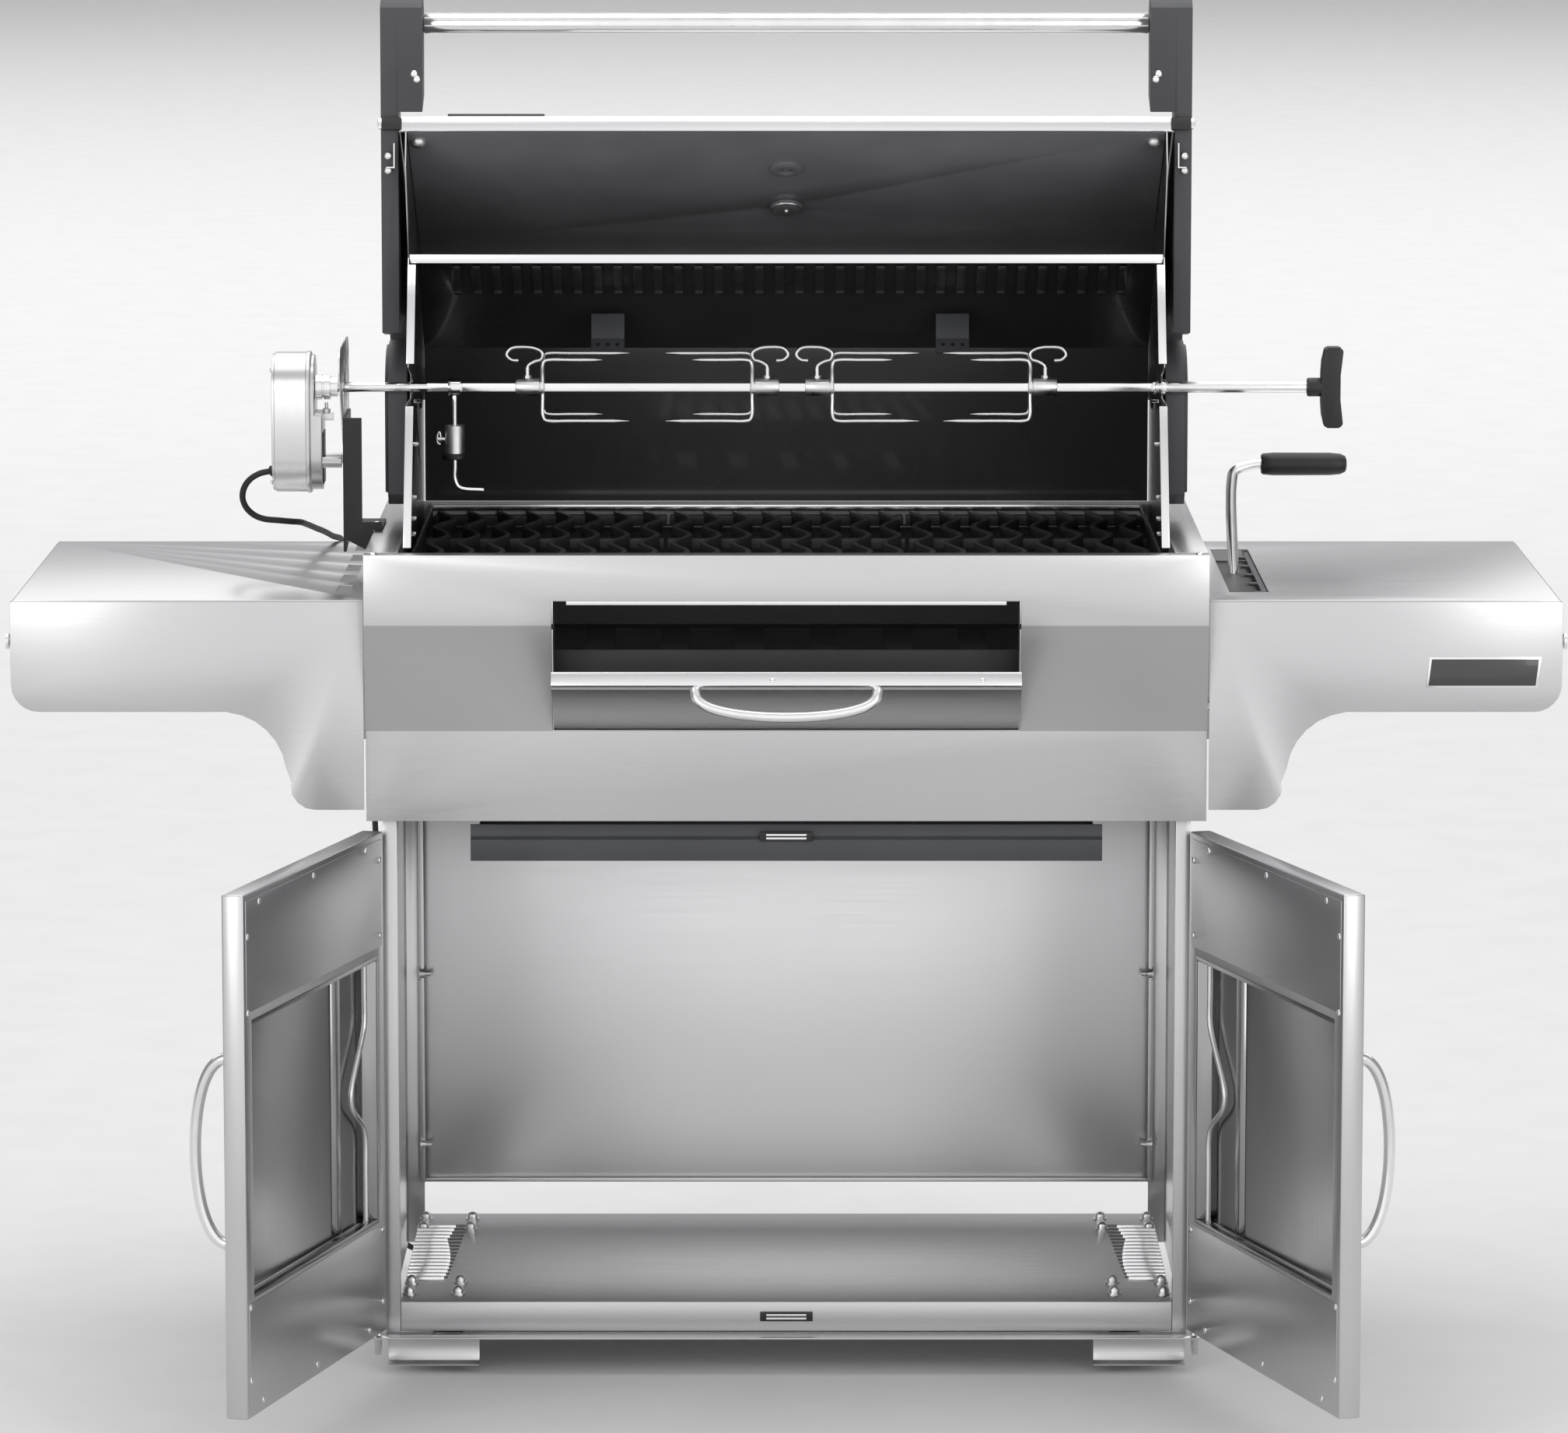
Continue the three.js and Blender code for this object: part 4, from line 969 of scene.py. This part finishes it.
def sliding_weight():
    """The weight with its wing screw, over a black pad."""
    x = WEIGHT_X
    barrel = [(4.2, -74), (10.4, -74), (11, -73.4), (11, -43), (10, -42), (4.2, -42), (4.2, -74)]
    wing = [(x - 15, 0, -58), (x - 17, 0, -50), (x - 19, 0, -53), (x - 19, 0, -62), (x - 16, 0, -64)]
    weight = Shape()
    weight.turned(barrel, (x, 0, 0))
    weight.turned([(0, x - 19), (2.5, x - 19), (2.5, x - 6), (0, x - 6)], (0, 0, -58), "x", 14)
    weight.bar(wing, 1.4, 10, 5)
    add("sliding_weight", weight, "satin_chrome", "balance_weight", replaces=["counterweight"])
    rim = [(4.2, -80), (13.6, -80), (14.5, -79), (14.5, -75.2), (13.6, -74.2), (4.2, -74.2), (4.2, -80)]
    add("weight_pad", Shape().turned(rim, (x, 0, 0)), "black", "balance_weight")


def fork(number):
    """A collar with an eyed screw, and two bent wires that end in four points."""
    body = f"fork_body_{number}"
    shape = Shape()
    shape.turned([(4.7, 0), (9.4, 0), (10, 0.8), (10, 26.5), (4.7, 26.5), (4.7, 0)], (0, 0, 0), "x", 30)
    shape.turned([(4.7, 27.5), (10, 27.5), (10, 31), (4.7, 31), (4.7, 27.5)], (0, 0, 0), "x", 30)
    for y, way in ((8, 1), (-8, -1)):
        for length, rise in ((96, 37 * way), (66, -31 * way)):
            turn = 1 if rise > 0 else -1
            shape.bar([
                (30, y * 0.6, 0), (30, y * 0.7, 14 * turn), (30, y, rise - 7 * turn),
                (32, y, rise - 1.6 * turn), (37, y, rise), (60, y, rise), (30 + length, y, rise),
            ], 2.2, 12, 4, 11)
    shape.turned([(0, 8), (2.5, 8), (2.5, 22), (0, 22)], (13, 0, 0), "z", 16)
    shape.turned([(2.5, 10), (4.4, 10), (4.4, 13), (2.5, 13), (2.5, 10)], (13, 0, 0), "z", 6)
    shape.bar([
        (13, 0, 20), (14, 0, 24), (21, 0, 28.5), (28.5, 0, 31), (29.5, 0, 38), (22, 0, 43), (8, 0, 44.6),
        (-5, 0, 43), (-10, 0, 36), (-5, 0, 30.5), (3, 0, 29.6),
    ], 2, 12, 5)
    add(f"fork_{number}_wires", shape, "satin_chrome", body, replaces=[f"fork_{number}"])


def bracket_pick(at, normal):
    """Bright on the face towards the motor and on its upper edge, black elsewhere."""
    return 1 if at.x < -490.3 or (at.x < -489.5 and at.z > 1040) else 0


def motor():
    dress("motor_housing", ["steel_z"], 2.0)
    dress("motor_bracket", ["black", "satin_chrome"], 0.5, bracket_pick)
    dress("strain_relief", ["rubber"], 0.3)
    strip = Shape().box((-514.2, -55, 962), (-512.6, -16, 1020))
    add("motor_dark_strip", strip, "black", edge=0.6)
    nut = Shape()
    nut.turned([(0, 0), (4.5, 0), (4.5, 5), (2, 6), (2, 12), (0, 12)], (-510, -40, 1040), (0, 0, 1), 10)
    nut.box((-518, -41, 1032), (-502, -39, 1041))
    add("motor_wing_nut", nut, "satin_chrome", edge=0.4)
    screws = Shape()
    for y, z in ((-62, 1090), (-18, 1090), (-62, 966), (-18, 966)):
        screws.dome((-569, y, z), (-1, 0, 0), 3.4, 2.2)
    screws.dome((-455, -30, 915), "z", 5, 3.2)
    add("motor_screws", screws, "chrome")


# ---------- grates ----------
def grates():
    """Three cast grates of waving bars on three cross bars each."""
    width, y0, y1, bars, waves = 267, -252, 209, 8, 3
    pitch = width / bars
    low, top = 886.5, 903
    for name, centre in (("left", -269), ("middle", 0), ("right", 269)):
        shape = Shape()
        for i in range(bars):
            cx = centre - width / 2 + pitch * (i + 0.5)
            steps = waves * 12
            middle = []
            for k in range(steps + 1):
                t = k / steps
                middle.append((cx - pitch * 0.26 * cos(2 * pi * waves * t), y0 + (y1 - y0) * t))
            left = [(px - 3, py) for px, py in middle]
            right = [(px + 3, py) for px, py in middle]
            shape.prism(left + right[::-1], low, top, "z")
        for y in (y0 + 5, (y0 + y1) / 2, y1 - 5):
            shape.box((centre - width / 2 + 1, y - 5, low), (centre + width / 2 - 1, y + 5, top - 5))
        add(f"grate_{name}_bars", shape, "iron", edge=0.9, replaces=[f"grate_{name}"])


body_panels()
mouth_trim()
catches()
deck_screws()
caster_plate_nuts()
floor_vents()
back_panel()
shelf_badge()
shelf_trim()
hood_shell()
hood_louvres()
hood_hooks()
rear_ledge()
hood_wing_nuts()
spit_cradles()
lid_shell()
lid_rim()
lid_badge()
lid_corners()
lid_fittings()
lid_handle()
cabinet_doors()
charcoal_door()
lever()
spit_bar()
spit_grip()
spit_socket()
weight_arm()
sliding_weight()
for number in FORK_AT:
    fork(number)
motor()
grates()
